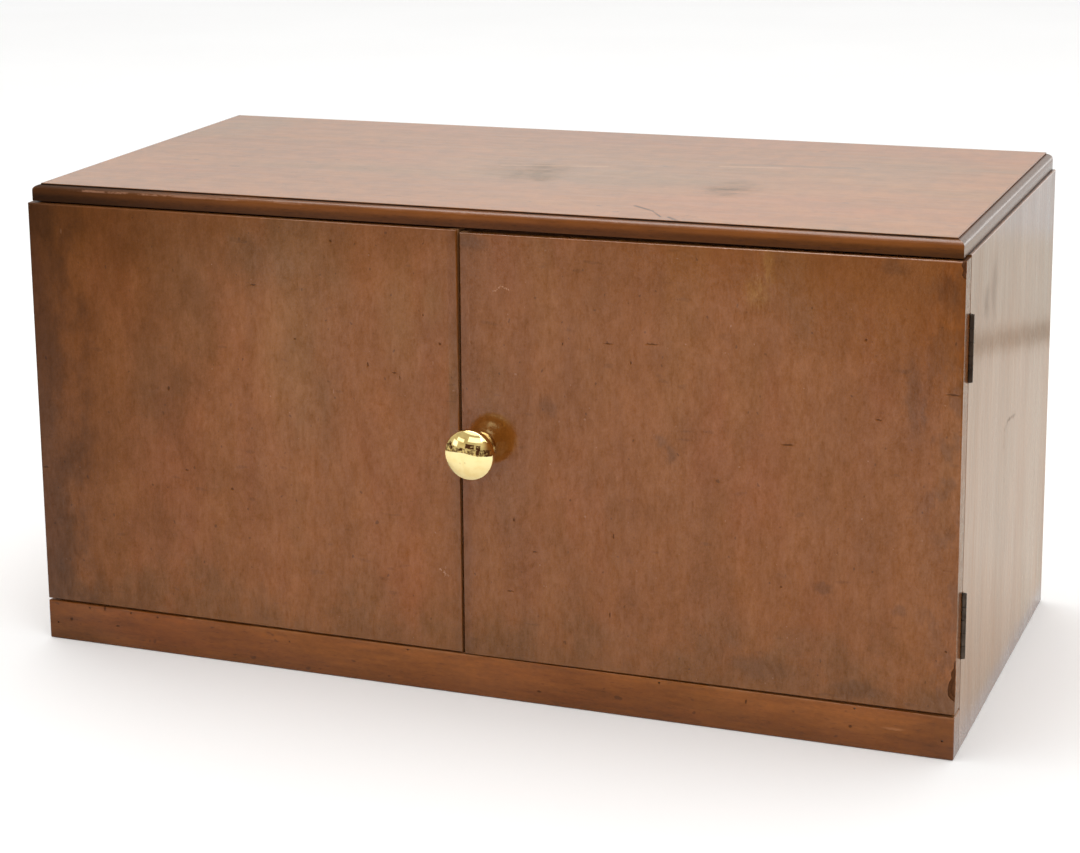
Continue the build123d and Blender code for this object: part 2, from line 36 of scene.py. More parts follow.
# ---------------------------------------------------------------- node tool
class Finish:
    """One procedural material. Positions are object coordinates, which are the frame's own metres and move with the piece, put on the drawing."""

    def __init__(self, name, metallic=0.0, ior=1.5, specular=0.5, coat=0.0, coat_rough=0.03, coat_ior=1.5, sheen=0.0):
        self.mat = bpy.data.materials.new(name)
        self.mat.use_nodes = True
        self.tree = self.mat.node_tree
        self.tree.nodes.clear()
        self.out = self.tree.nodes.new("ShaderNodeOutputMaterial")
        self.shader = self.tree.nodes.new("ShaderNodeBsdfPrincipled")
        self.tree.links.new(self.shader.outputs["BSDF"], self.out.inputs["Surface"])
        s = self.shader.inputs
        s["Metallic"].default_value = metallic
        s["IOR"].default_value = ior
        s["Specular IOR Level"].default_value = specular
        s["Coat Weight"].default_value = coat
        s["Coat Roughness"].default_value = coat_rough
        s["Coat IOR"].default_value = coat_ior
        if sheen:
            s["Sheen Weight"].default_value = sheen
            s["Sheen Roughness"].default_value = 0.5
        self.p = self.vec("SUBTRACT", self.tree.nodes.new("ShaderNodeTexCoord").outputs["Object"], (0, FORWARD, 0))
        self._xyz = None

    # basic nodes
    def link(self, a, b):
        if isinstance(a, (int, float)):
            b.default_value = a
        elif isinstance(a, (tuple, list)):
            b.default_value = tuple(a) + ((1.0,) if len(b.default_value) == 4 and len(a) == 3 else ())
        else:
            self.tree.links.new(a, b)

    def math(self, op, a, b=0.0, c=0.0, clamp=False):
        n = self.tree.nodes.new("ShaderNodeMath")
        n.operation = op
        n.use_clamp = clamp
        for i, v in enumerate((a, b, c)):
            if i < len(n.inputs):
                self.link(v, n.inputs[i])
        return n.outputs[0]

    def add(self, a, b): return self.math("ADD", a, b)
    def sub(self, a, b): return self.math("SUBTRACT", a, b)
    def mul(self, a, b): return self.math("MULTIPLY", a, b)
    def lo(self, a, b): return self.math("MINIMUM", a, b)
    def hi(self, a, b): return self.math("MAXIMUM", a, b)
    def clamp(self, a): return self.math("ADD", a, 0.0, clamp=True)
    def inv(self, a): return self.math("SUBTRACT", 1.0, a, clamp=True)

    def vec(self, op, a, b=(0, 0, 0)):
        n = self.tree.nodes.new("ShaderNodeVectorMath")
        n.operation = op
        self.link(a, n.inputs[0])
        if op == "SCALE":
            self.link(b, n.inputs["Scale"])
        elif len(n.inputs) > 1:
            self.link(b, n.inputs[1])
        return n.outputs["Value"] if op in ("LENGTH", "DOT_PRODUCT", "DISTANCE") else n.outputs["Vector"]

    def axis(self, i):
        if self._xyz is None:
            n = self.tree.nodes.new("ShaderNodeSeparateXYZ")
            self.tree.links.new(self.p, n.inputs[0])
            self._xyz = n.outputs
        return self._xyz[i]

    def ramp(self, v, low, high, out0=0.0, out1=1.0, smooth=True):
        """Maps v from low..high to out0..out1, held at the ends."""
        n = self.tree.nodes.new("ShaderNodeMapRange")
        n.interpolation_type = "SMOOTHSTEP" if smooth else "LINEAR"
        n.clamp = True
        self.link(v, n.inputs["Value"])
        if low > high:
            low, high, out0, out1 = high, low, out1, out0
        n.inputs["From Min"].default_value = low
        n.inputs["From Max"].default_value = high
        n.inputs["To Min"].default_value = out0
        n.inputs["To Max"].default_value = out1
        return n.outputs["Result"]

    def noise(self, scale, per=(1, 1, 1), shift=(0, 0, 0), detail=3.0, rough=0.55, distort=0.0, at=None):
        """Smooth noise, 0..1. per stretches it: a small number along an axis draws it out that way."""
        v = self.p if at is None else at
        v = self.vec("MULTIPLY", self.vec("ADD", v, tuple(shift)), tuple(scale * k for k in per))
        n = self.tree.nodes.new("ShaderNodeTexNoise")
        n.inputs["Scale"].default_value = 1.0
        n.inputs["Detail"].default_value = detail
        n.inputs["Roughness"].default_value = rough
        n.inputs["Distortion"].default_value = distort
        self.tree.links.new(v, n.inputs["Vector"])
        return n.outputs["Fac"]

    def warp(self, scale, amount, per=(1, 1, 1), shift=(0, 0, 0)):
        """Positions pushed about by a slow noise."""
        v = self.vec("MULTIPLY", self.vec("ADD", self.p, tuple(shift)), tuple(scale * k for k in per))
        n = self.tree.nodes.new("ShaderNodeTexNoise")
        n.inputs["Scale"].default_value = 1.0
        n.inputs["Detail"].default_value = 2.0
        self.tree.links.new(v, n.inputs["Vector"])
        push = self.vec("MULTIPLY", self.vec("SUBTRACT", n.outputs["Color"], (0.5, 0.5, 0.5)), tuple(amount))
        return self.vec("ADD", self.p, push)

    def mix(self, fac, a, b, kind="MIX"):
        n = self.tree.nodes.new("ShaderNodeMix")
        n.data_type = "RGBA"
        n.blend_type = kind
        n.clamp_factor = True
        self.link(fac, n.inputs["Factor"])
        for v, name in ((a, "A"), (b, "B")):
            s = [i for i in n.inputs if i.name == name and i.type == "RGBA"][0]
            self.link(v, s)
        return [o for o in n.outputs if o.type == "RGBA"][0]

    def tone(self, colour, k):
        """Colour times a number that varies over the surface."""
        n = self.tree.nodes.new("ShaderNodeVectorMath")
        n.operation = "SCALE"
        self.link(colour, n.inputs[0])
        self.link(k, n.inputs["Scale"])
        return n.outputs["Vector"]

    def spots(self, marks, at=None):
        """Distance to the nearest of several marks, 0 at a centre and 1 on a rim. marks: (centre, half sizes)."""
        v = self.p if at is None else at
        d = None
        for centre, half in marks:
            e = self.vec("LENGTH", self.vec("MULTIPLY", self.vec("SUBTRACT", v, tuple(centre)), tuple(1.0 / h for h in half)))
            d = e if d is None else self.lo(d, e)
        return d

    def stroke(self, a, b, width, plane=1, at=None):
        """1 on a straight scratch from a to b, 0 a width away. plane is the axis that is ignored."""
        v = self.p if at is None else at
        a, b = Vector(a), Vector(b)
        d = b - a
        n = d.length
        t = d / n
        keep = [1.0, 1.0, 1.0]
        keep[plane] = 0.0
        rel = self.vec("MULTIPLY", self.vec("SUBTRACT", v, tuple(a)), tuple(keep))
        along = self.vec("DOT_PRODUCT", rel, tuple(t))
        held = self.lo(self.hi(along, 0.0), n)
        foot = self.vec("SCALE", tuple(t), held)
        return self.ramp(self.vec("LENGTH", self.vec("SUBTRACT", rel, foot)), width * 0.35, width, 1.0, 0.0)

    # final sockets
    def colour(self, c): self.link(c, self.shader.inputs["Base Color"])
    def rough(self, r): self.link(r, self.shader.inputs["Roughness"])
    def polish(self, w): self.link(w, self.shader.inputs["Coat Weight"])

    def bump(self, height, depth, strength=1.0):
        """height 0..1 standing for depth in metres, felt by the surface and by the polish over it."""
        n = self.tree.nodes.new("ShaderNodeBump")
        n.inputs["Strength"].default_value = strength
        n.inputs["Distance"].default_value = depth
        self.link(height, n.inputs["Height"])
        self.tree.links.new(n.outputs["Normal"], self.shader.inputs["Normal"])
        self.tree.links.new(n.outputs["Normal"], self.shader.inputs["Coat Normal"])
        return self

    def put(self, *names):
        for n in names:
            o = nodes[n] if isinstance(n, str) else n
            o.data.materials.clear()
            o.data.materials.append(self.mat)
        return self


GRAIN = {"x": (0.045, 1.0, 1.0), "y": (1.0, 0.045, 1.0), "z": (1.0, 1.0, 0.045)}


def grain(f, along, shift=(0, 0, 0), wander=0.006):
    """The parts of a mahogany figure: patches, ribbons, streaks, short flecks and pores, each 0..1."""
    def per(k):
        return tuple(1.0 if g == 1.0 else k for g in GRAIN[along])
    push = tuple(wander if k == 1.0 else 0.0 for k in GRAIN[along])
    at = f.warp(14.0, push, per=per(0.35), shift=shift)
    g = {"at": at}
    g["patch"] = f.noise(15.0, per(0.30), shift, 3.0, 0.6, at=at)
    g["ribbon"] = f.noise(60.0, per(0.13), tuple(s + 3.1 for s in shift), 3.0, 0.6, at=at)
    g["streak"] = f.noise(300.0, per(0.09), tuple(s + 7.7 for s in shift), 2.0, 0.6, at=at)
    g["fleck"] = f.noise(620.0, per(0.36), tuple(s + 1.3 for s in shift), 3.0, 0.68)
    g["pores"] = f.ramp(f.noise(1500.0, per(0.11), tuple(s + 5.9 for s in shift), 1.0, 0.5), 0.60, 0.76)
    return g


def mahogany(f, g, deep, mid, light, olive, red, streak=0.10, pores=0.22, body=0.45, fleck=None):
    """Colour from the grain's parts."""
    c = f.mix(f.ramp(g["ribbon"], 0.30, 0.70), deep, light)
    c = f.mix(body, c, mid)
    c = f.mix(f.mul(f.ramp(g["patch"], 0.50, 0.70), 0.60), c, olive)
    c = f.mix(f.mul(f.ramp(g["patch"], 0.48, 0.30), 0.50), c, red)
    fleck = streak * 0.8 if fleck is None else fleck
    k = f.add(f.ramp(g["streak"], 0.25, 0.75, -streak, streak, smooth=False), f.ramp(g["fleck"], 0.30, 0.70, -fleck, fleck, smooth=False))
    k = f.sub(f.add(k, 1.0), f.mul(g["pores"], pores))
    return f.tone(c, k)


# ---------------------------------------------------------------- doors
DEEP, MID, LIGHT = (0.168, 0.0460, 0.0040), (0.200, 0.0585, 0.0056), (0.232, 0.0710, 0.0080)
OLIVE, RED = (0.152, 0.0540, 0.0060), (0.206, 0.0500, 0.0046)


def door_finish(name, shift, left, lipping=False):
    f = Finish(name, coat=1.0, coat_rough=0.13, coat_ior=1.54, specular=0.06)
    g = grain(f, "z", shift, wander=0.003 if lipping else 0.006)
    x, y, z = f.axis(0), f.axis(1), f.axis(2)
    c = mahogany(f, g, DEEP, MID, LIGHT, OLIVE, RED, streak=0.0, pores=0.0, body=0.74, fleck=0.0)
    wob = f.noise(24.0, (1, 1, 0.8), (4.0, 1.0, 2.0), 4.0, 0.6)
    blot = f.noise(46.0, (1.0, 1.0, 0.62), (2.2, 0, 4.1), 4.0, 0.62)
    mottle = f.noise(210.0, (1.0, 1.0, 0.55), (7.2, 0, 1.1), 4.0, 0.66)
    grit = f.noise(1150.0, (1.0, 1.0, 0.70), (0.3, 0, 2.7), 2.0, 0.7)
    # fine texture: part of it in the wood, more of it in the way the polish lies
    fine = f.add(f.ramp(g["streak"], 0.25, 0.75, -0.10, 0.10, smooth=False), f.ramp(g["fleck"], 0.30, 0.70, -0.20, 0.20, smooth=False))
    fine = f.add(fine, f.add(f.ramp(mottle, 0.3, 0.7, -0.12, 0.12), f.ramp(grit, 0.3, 0.7, -0.16, 0.16)))
    fine = f.sub(fine, f.mul(g["pores"], 0.20))
    shade = f.add(f.ramp(blot, 0.3, 0.7, 0.925, 1.070), f.ramp(wob, 0.3, 0.7, -0.05, 0.05))
    shade = f.mul(shade, f.add(f.mul(fine, 0.38), 1.0))
    # broad upright bands, browner and more golden
    band = f.noise(27.0, (1.0, 1.0, 0.20), tuple(s + 2.6 for s in shift), 3.0, 0.58, at=g["at"])
    strength = 0.45 if left else 1.0
    shade = f.mul(shade, f.ramp(band, 0.3, 0.7, 1.0 - 0.070 * strength, 1.0 + 0.055 * strength))
    c = f.mix(f.ramp(band, 0.50, 0.72, 0.0, 0.28 * strength), c, (0.190, 0.0680, 0.0090))
    # olive and a little darker towards the bottom edge; painted shade under the top board, where it overhangs the top
    # of the door
    zz = f.add(z, f.ramp(wob, 0.25, 0.75, -0.020, 0.020))
    low = f.ramp(zz, 0.026, 0.066, 1.0, 0.0)
    c = f.mix(f.mul(low, 0.55), c, OLIVE)
    shade = f.mul(shade, f.ramp(low, 0.0, 1.0, 1.0, 0.93))
    top = f.ramp(zz, 0.292, 0.240, 1.0, 0.0)
    shine = f.mul(f.ramp(blot, 0.3, 0.7, 0.68, 0.79), f.add(f.mul(fine, 1.34), 1.0))
    if left:
        # painted shade: the hinge side of the left door is darkened, most of all at the top and along its edge, for
        # the light falling off away from the lamp on the right; it is also browner and duller
        xx = f.add(x, f.ramp(blot, 0.25, 0.75, -0.012, 0.012))
        side = f.ramp(xx, -0.300, -0.130, 1.0, 0.0, smooth=False)
        rim = f.ramp(xx, -0.290, -0.246, 1.0, 0.0)
        up = f.ramp(z, 0.04, 0.27, 0.62, 1.0, smooth=False)
        shade = f.mul(shade, f.ramp(f.mul(side, up), 0.0, 1.0, 1.0, 0.52, smooth=False))
        shade = f.mul(shade, f.ramp(rim, 0.0, 1.0, 1.0, 0.66))
        # painted shade under the top board
        shade = f.mul(shade, f.ramp(top, 0.0, 1.0, 1.0, 0.80))
        c = f.mix(f.mul(f.mul(side, up), 0.35), c, (0.165, 0.0440, 0.0035))
        shine = f.mul(shine, f.ramp(f.mul(f.ramp(xx, -0.255, -0.120, 1.0, 0.0, smooth=False), f.ramp(z, 0.06, 0.25, 0.45, 1.0, smooth=False)), 0.0, 1.0, 1.0, 0.22, smooth=False))
        shine = f.mul(shine, f.ramp(top, 0.0, 1.0, 1.0, 0.68))
        # two smoky olive clouds, and a golden one by the meeting edge
        cloud = f.ramp(f.spots([((-0.178, Y0, 0.235), (0.030, 0.03, 0.052)), ((-0.205, Y0, 0.180), (0.024, 0.03, 0.034)), ((-0.130, Y0, 0.262), (0.040, 0.03, 0.020))],
                               at=f.warp(60.0, (0.024, 0, 0.034))), 0.2, 1.3, 1.0, 0.0)
        c = f.mix(f.mul(cloud, 0.36), c, (0.118, 0.0450, 0.0080))
        gold = f.ramp(f.spots([((-0.040, Y0, 0.236), (0.016, 0.03, 0.040)), ((-0.021, Y0, 0.243), (0.010, 0.03, 0.016)), ((-0.118, Y0, 0.200), (0.020, 0.03, 0.050))], at=g["at"]), 0.2, 1.3, 1.0, 0.0)
        c = f.mix(f.mul(gold, 0.52), c, (0.205, 0.0740, 0.0100))
        marks = [((-0.0844, Y0, 0.2758), (0.0009, 0.02, 0.0010)), ((-0.0255, Y0, 0.2347), (0.0006, 0.02, 0.0008)),
                 ((-0.0151, Y0, 0.2178), (0.0011, 0.02, 0.0010)), ((-0.0620, Y0, 0.2018), (0.0009, 0.02, 0.0019)),
                 ((-0.0450, Y0, 0.1977), (0.0017, 0.02, 0.0006)), ((-0.0412, Y0, 0.1949), (0.0006, 0.02, 0.0017)),
                 ((-0.1368, Y0, 0.2452), (0.0026, 0.02, 0.0005)), ((-0.1097, Y0, 0.2137), (0.0009, 0.02, 0.0007)),
                 ((-0.1979, Y0, 0.1754), (0.0009, 0.02, 0.0018)), ((-0.1560, Y0, 0.1143), (0.0013, 0.02, 0.0010)),
                 ((-0.1873, Y0, 0.1233), (0.0015, 0.02, 0.0006)), ((-0.2893, Y0, 0.1153), (0.0026, 0.02, 0.0006))]
        pale = [((-0.2694, Y0, 0.2706), (0.0008, 0.02, 0.0022)), ((-0.0850, Y0, 0.1830), (0.0005, 0.02, 0.0020))]
        # a little crossed scratch below the meeting edge
        crook = f.warp(420.0, (0.0026, 0, 0.0026))
        nick = f.hi(f.stroke((-0.0178, 0, 0.0779), (-0.0122, 0, 0.0740), 0.0006, at=crook), f.stroke((-0.0140, 0, 0.0796), (-0.0150, 0, 0.0736), 0.0006, at=crook))
        nick = f.mul(nick, f.ramp(f.noise(800.0, detail=2.0), 0.38, 0.60))
        c = f.mix(f.mul(nick, 0.50), c, (0.40, 0.21, 0.11))
    else:
        # brown bruising by the hinges, and a yellow smear in the polish
        # painted shade: the right door is darker towards the meeting edge, away from the lamp on the right
        shade = f.mul(shade, f.ramp(x, 0.0, 0.170, 0.90, 0.99, smooth=False))
        shine = f.mul(shine, f.ramp(f.spots([((0.225, Y0, 0.272), (0.085, 0.05, 0.034))]), 0.2, 1.3, 1.30, 1.0))
        xx = f.add(x, f.ramp(wob, 0.25, 0.75, -0.014, 0.014))
        side = f.ramp(xx, 0.250, 0.294, 0.0, 1.0)
        shade = f.mul(shade, f.ramp(f.mul(side, f.ramp(blot, 0.42, 0.58)), 0.0, 1.0, 1.0, 0.74))
        # painted shade under the top board
        shade = f.mul(shade, f.ramp(top, 0.0, 1.0, 1.0, 0.93))
        smear = f.ramp(f.spots([((0.1768, Y0, 0.2620), (0.0085, 0.02, 0.0105)), ((0.1835, Y0, 0.2770), (0.0040, 0.02, 0.0130))],
                               at=f.warp(160.0, (0.006, 0, 0.006))), 0.25, 1.25, 1.0, 0.0)
        c = f.mix(f.mul(smear, f.ramp(g["fleck"], 0.3, 0.65, 0.15, 0.75)), c, (0.250, 0.1020, 0.0160))
        marks = [((0.0891, Y0, 0.2262), (0.0030, 0.02, 0.0005)), ((0.0618, Y0, 0.2241), (0.0006, 0.02, 0.0011)),
                 ((0.1159, Y0, 0.2278), (0.0046, 0.02, 0.0006)), ((0.1030, Y0, 0.2160), (0.0008, 0.02, 0.0012)),
                 ((0.0922, Y0, 0.1107), (0.0007, 0.02, 0.0019)), ((0.0431, Y0, 0.0955), (0.0019, 0.02, 0.0006)),
                 ((0.0276, Y0, 0.0693), (0.0026, 0.02, 0.0006)), ((0.0303, Y0, 0.1142), (0.0007, 0.02, 0.0015)),
                 ((0.0899, Y0, 0.0619), (0.0006, 0.02, 0.0021)), ((0.2388, Y0, 0.2398), (0.0010, 0.02, 0.0010)),
                 ((0.1954, Y0, 0.1757), (0.0042, 0.02, 0.0007)), ((0.2467, Y0, 0.1949), (0.0022, 0.02, 0.0006)),
                 ((0.2871, Y0, 0.2127), (0.0046, 0.02, 0.0006)), ((0.2869, Y0, 0.0644), (0.0010, 0.02, 0.0009)),
                 ((0.1926, Y0, 0.0913), (0.0008, 0.02, 0.0008))]
        pale = []
        bruise = f.ramp(f.spots([((0.0524, Y0, 0.1858), (0.0075, 0.02, 0.0075)), ((0.1211, Y0, 0.1711), (0.0058, 0.02, 0.0050)),
                                 ((0.1265, Y0, 0.1640), (0.0040, 0.02, 0.0070)), ((0.2614, Y0, 0.2242), (0.0066, 0.02, 0.0030)),
                                 ((0.2536, Y0, 0.2817), (0.0085, 0.02, 0.0060)), ((0.2835, Y0, 0.2687), (0.0070, 0.02, 0.0130)),
                                 ((0.2715, Y0, 0.2017), (0.0024, 0.02, 0.0150)), ((0.2175, Y0, 0.0933), (0.0075, 0.02, 0.0040)),
                                 ((0.2601, Y0, 0.0854), (0.0052, 0.02, 0.0044)), ((0.1823, Y0, 0.0403), (0.0200, 0.02, 0.0110)),
                                 ((0.2383, Y0, 0.0346), (0.0200, 0.02, 0.0070)), ((0.2660, Y0, 0.2080), (0.0060, 0.02, 0.0300)), ((0.0080, Y0, 0.2810), (0.0120, 0.02, 0.0060))],
                                at=f.warp(120.0, (0.009, 0, 0.011))), 0.10, 1.30, 1.0, 0.0)
        shade = f.mul(shade, f.ramp(bruise, 0.0, 1.0, 1.0, 0.76))
        bent = f.warp(260.0, (0.0022, 0, 0.0022))
        chevron = f.hi(f.stroke((0.0200, 0, 0.2522), (0.0238, 0, 0.2560), 0.0007, at=bent), f.stroke((0.0238, 0, 0.2560), (0.0286, 0, 0.2536), 0.0006, at=bent))
        c = f.mix(f.mul(chevron, f.ramp(f.noise(900.0, detail=1.0), 0.38, 0.6, 0.0, 0.7)), c, (0.38, 0.18, 0.08))
    front = f.ramp(y, Y0 + 0.0004, Y0 + 0.0022, 1.0, 0.0)
    chipped = f.mul(f.ramp(f.noise(380.0, (1.0, 1.0, 0.8), (3.3, 0, 8.2), 1.0, 0.4), 0.775, 0.82, 0.0, 0.30), front)
    c = f.mix(chipped, c, (0.36, 0.19, 0.10))
    dent = f.mul(f.ramp(f.spots(marks, at=f.warp(700.0, (0.0012, 0, 0.0012))), 0.30, 1.15, 1.0, 0.0), front)
    if pale:
        c = f.mix(f.mul(f.ramp(f.spots(pale), 0.4, 1.0, 1.0, 0.0), 0.45), c, (0.36, 0.17, 0.08))
    # odd specks and short scratches all over
    odd = f.noise(300.0, (1.0, 1.0, 0.7), (6.6, 0, 0.4), 1.0, 0.4)
    shade = f.mul(shade, f.ramp(odd, 0.715, 0.78, 1.0, 0.66))
    cross = f.noise(130.0, (0.5, 1.0, 1.5), (1.9, 0, 3.3), 1.0, 0.4)
    shade = f.mul(shade, f.ramp(cross, 0.730, 0.80, 1.0, 0.86))
    # the closing edges carry a dark line of old dirt
    meet = f.math("ABSOLUTE", f.sub(x, SEAM))
    shade = f.mul(shade, f.ramp(meet, 0.0010, 0.0085, 0.84, 1.0))
    shade = f.mul(shade, f.ramp(dent, 0.0, 1.0, 1.0, 0.50))
    c = f.tone(c, shade)
    # worn and painted highlight: a pale, broken line on the top arris, for light caught by the eased edge where it is
    # also rubbed
    wear_and_glint_breakup = f.ramp(f.noise(70.0, (0.4, 1, 1), (5.0, 0, 1.0), 4.0, 0.65), 0.36, 0.54, 0.25, 1.0)
    high = f.mul(f.mul(f.ramp(z, 0.2862, 0.2868, 0.0, 1.0), f.ramp(y, Y0 + 0.0022, Y0 + 0.0008, 0.0, 1.0)), wear_and_glint_breakup)
    if left:
        high = f.mul(high, f.ramp(x, -0.230, -0.030, 0.15, 0.85))
    if not left:
        high = f.mul(high, f.ramp(x, 0.120, 0.260, 1.0, 0.35))
    c = f.mix(high, c, (0.50, 0.29, 0.19) if not left else (0.22, 0.095, 0.045))
    # inside the thickness: dirt, but the outer edge is polished like the side it closes against
    outer = f.ramp(f.math("ABSOLUTE", x), XO - 0.0005, XO - 0.0002, 0.0, 1.0)
    deep_in = f.mul(f.ramp(y, Y0 + 0.0010, Y0 + 0.0020, 0.0, 1.0), f.inv(outer))
    c = f.mix(f.mul(deep_in, 0.50), c, (0.130, 0.048, 0.014))
    bare = f.mul(deep_in, f.hi(f.ramp(meet, 0.0065, 0.0040, 0.0, 1.0), f.ramp(z, 0.0290, 0.0280, 0.0, 1.0)))
    c = f.mix(f.mul(bare, 0.85), c, (0.360, 0.170, 0.072))
    if not left and not lipping:
        # dark where the arris has splintered away: bare wood, with painted shade in the broken edge
        torn = f.mul(f.mul(f.ramp(y, Y0 + 0.00025, Y0 + 0.00045, 0.0, 1.0), f.ramp(x, 0.2870, 0.2876, 0.0, 1.0)), f.inv(outer))
        torn = f.mul(torn, f.hi(f.ramp(z, 0.064, 0.062, 0.0, 1.0), f.ramp(z, 0.2755, 0.2765, 0.0, 1.0)))
        c = f.mix(f.mul(torn, 0.85), c, f.mix(g["fleck"], (0.030, 0.010, 0.004), (0.115, 0.045, 0.018)))
        shine = f.mul(shine, f.inv(torn))
    # the inside face was polished thinly and kept its redder colour
    back = f.ramp(y, YD - 0.0012, YD - 0.0004, 0.0, 1.0)
    c = f.mix(back, c, f.tone(f.mix(f.ramp(g["ribbon"], 0.25, 0.75), (0.222, 0.078, 0.023), (0.268, 0.100, 0.032)), f.mul(f.ramp(g["streak"], 0.25, 0.75, 0.88, 1.10), f.ramp(g["fleck"], 0.3, 0.7, 0.90, 1.10))))
    f.colour(c)
    f.polish(f.mul(shine, f.ramp(dent, 0.0, 1.0, 1.0, 0.3)))
    f.rough(f.ramp(g["streak"], 0.2, 0.8, 0.40, 0.52))
    h = f.add(f.mul(g["streak"], 0.30), f.mul(g["fleck"], 0.50))
    h = f.sub(f.sub(h, f.mul(g["pores"], 0.12)), f.mul(dent, 3.0))
    h = f.add(h, f.mul(blot, 3.0))
    f.bump(h, 0.00009, 0.7)
    return f


door_finish("left_door_veneer", (0.0, 0.0, 0.0), True).put("left_door_panel")
door_finish("left_door_edge_strip", (0.031, 0.0, 0.17), True, lipping=True).put("left_door_lipping")
door_finish("right_door_veneer", (0.43, 0.2, 0.61), False).put("right_door_panel")
door_finish("right_door_edge_strip", (0.77, 0.1, 0.35), False, lipping=True).put("right_door_lipping")


# ---------------------------------------------------------------- top board
def top_finish():
    f = Finish("top_board_polish", coat=1.0, coat_rough=0.20, coat_ior=1.45, specular=0.05)
    g = grain(f, "x", (0.2, 0.7, 0.1), wander=0.008)
    x, y, z = f.axis(0), f.axis(1), f.axis(2)
    flat = mahogany(f, g, (0.235, 0.0720, 0.0080), (0.298, 0.1000, 0.0125), (0.365, 0.1300, 0.0185), (0.240, 0.1000, 0.0160), (0.335, 0.0930, 0.0110), streak=0.014, pores=0.10, body=0.74, fleck=0.08)
    broad = f.noise(7.0, (0.7, 1.0, 1.0), (0.5, 2.0, 0), 2.0, 0.5)
    # painted light: besides a broad random tone, the flat is lighter towards the right front and darker towards the
    # left and the rear
    shade = f.mul(f.ramp(broad, 0.3, 0.7, 0.92, 1.06), f.mul(f.ramp(f.sub(x, f.mul(y, 0.8)), -0.20, 0.34, 0.92, 1.06, smooth=False), f.mul(f.ramp(y, -0.11, -0.01, 1.0, 0.90, smooth=False), f.ramp(y, -0.01, 0.15, 1.0, 0.90, smooth=False))))
    # grey rings and rubs where things have stood
    about = f.warp(110.0, (0.018, 0.022, 0.0))
    hazy = f.noise(130.0, (0.35, 1.0, 1.0), (0, 5, 0), 4.0, 0.70)
    ring = f.spots([((-0.001, 0.004, H), (0.020, 0.036, 0.05)), ((0.009, -0.014, H), (0.013, 0.015, 0.05)), ((0.131, -0.019, H), (0.018, 0.026, 0.05))], at=about)
    faint = f.spots([((-0.024, 0.012, H), (0.017, 0.030, 0.05))], at=about)
    stain = f.mul(f.hi(f.ramp(ring, 0.10, 1.30, 0.80, 0.0), f.ramp(faint, 0.10, 1.30, 0.34, 0.0)), f.ramp(hazy, 0.28, 0.56))
    flecked = f.ramp(f.noise(300.0, (0.50, 1.0, 1.0), (2, 8, 0), 4.0, 0.75), 0.38, 0.60, 0.40, 1.0)
    stain = f.mul(stain, flecked)
    flat = f.mix(f.mul(stain, 0.95), flat, (0.055, 0.045, 0.032))
    wide = f.ramp(f.spots([((0.03, 0.02, H), (0.15, 0.080, 0.05)), ((-0.255, 0.118, H), (0.035, 0.045, 0.05)), ((0.21, 0.06, H), (0.06, 0.07, 0.05))], at=about), 0.1, 1.2, 1.0, 0.0)
    flat = f.mix(f.mul(wide, 0.38), flat, (0.190, 0.110, 0.046))
    rub = f.hi(f.stroke((0.104, 0.0530, 0), (0.140, 0.0575, 0), 0.0030, plane=2), f.stroke((-0.03, 0.020, 0), (0.035, 0.033, 0), 0.0022, plane=2))
    flat = f.mix(f.mul(rub, 0.30), flat, (0.50, 0.27, 0.13))
    smudge = f.stroke((0.110, 0.0620, 0), (0.185, 0.0700, 0), 0.0050, plane=2)
    flat = f.mix(f.mul(smudge, 0.40), flat, (0.120, 0.060, 0.020))
    scratch = f.hi(f.hi(f.stroke((0.0920, -0.0845, 0), (0.1060, -0.0960, 0), 0.0016, plane=2), f.stroke((0.1060, -0.0960, 0), (0.1160, -0.1115, 0), 0.0008, plane=2)),
                   f.stroke((0.1205, -0.1110, 0), (0.1275, -0.1190, 0), 0.0015, plane=2))
    scratch = f.mul(scratch, f.ramp(hazy, 0.34, 0.54, 0.2, 1.0))
    flat = f.mix(f.mul(scratch, 0.85), flat, (0.020, 0.010, 0.006))
    shade = f.mul(shade, f.ramp(f.noise(110.0, (0.6, 0.55, 1.0), (8, 1, 4), 4.0, 0.62), 0.3, 0.7, 0.90, 1.10))
    dots = f.noise(150.0, (0.5, 1.0, 1.0), (4, 4, 4), 1.0, 0.4)
    shade = f.mul(shade, f.ramp(dots, 0.745, 0.80, 1.0, 0.62))
    flat = f.tone(flat, shade)
    # the worked edge: darker towards its foot, rubbed on the round, dirt and painted shade in the quirk
    edge = mahogany(f, g, (0.080, 0.0215, 0.0018), (0.107, 0.0295, 0.0027), (0.142, 0.0420, 0.0054), (0.088, 0.0270, 0.0027), (0.115, 0.0270, 0.0022), streak=0.14, pores=0.30)
    worn = f.noise(34.0, (0.5, 1, 1), (0, 0, 9), 4.0, 0.65)
    low = f.ramp(z, TOP_UNDER + 0.0018, TOP_UNDER + 0.0056, 0.66, 1.0)
    band = f.mul(f.ramp(z, TOP_UNDER + 0.0036, TOP_UNDER + 0.0062, 0.0, 1.0), f.ramp(z, H - 0.0008, H - 0.0026, 0.0, 1.0))
    edge = f.mix(f.mul(band, f.ramp(worn, 0.3, 0.7, 0.30, 0.75)), edge, (0.200, 0.0600, 0.0088))
    edge = f.tone(edge, low)
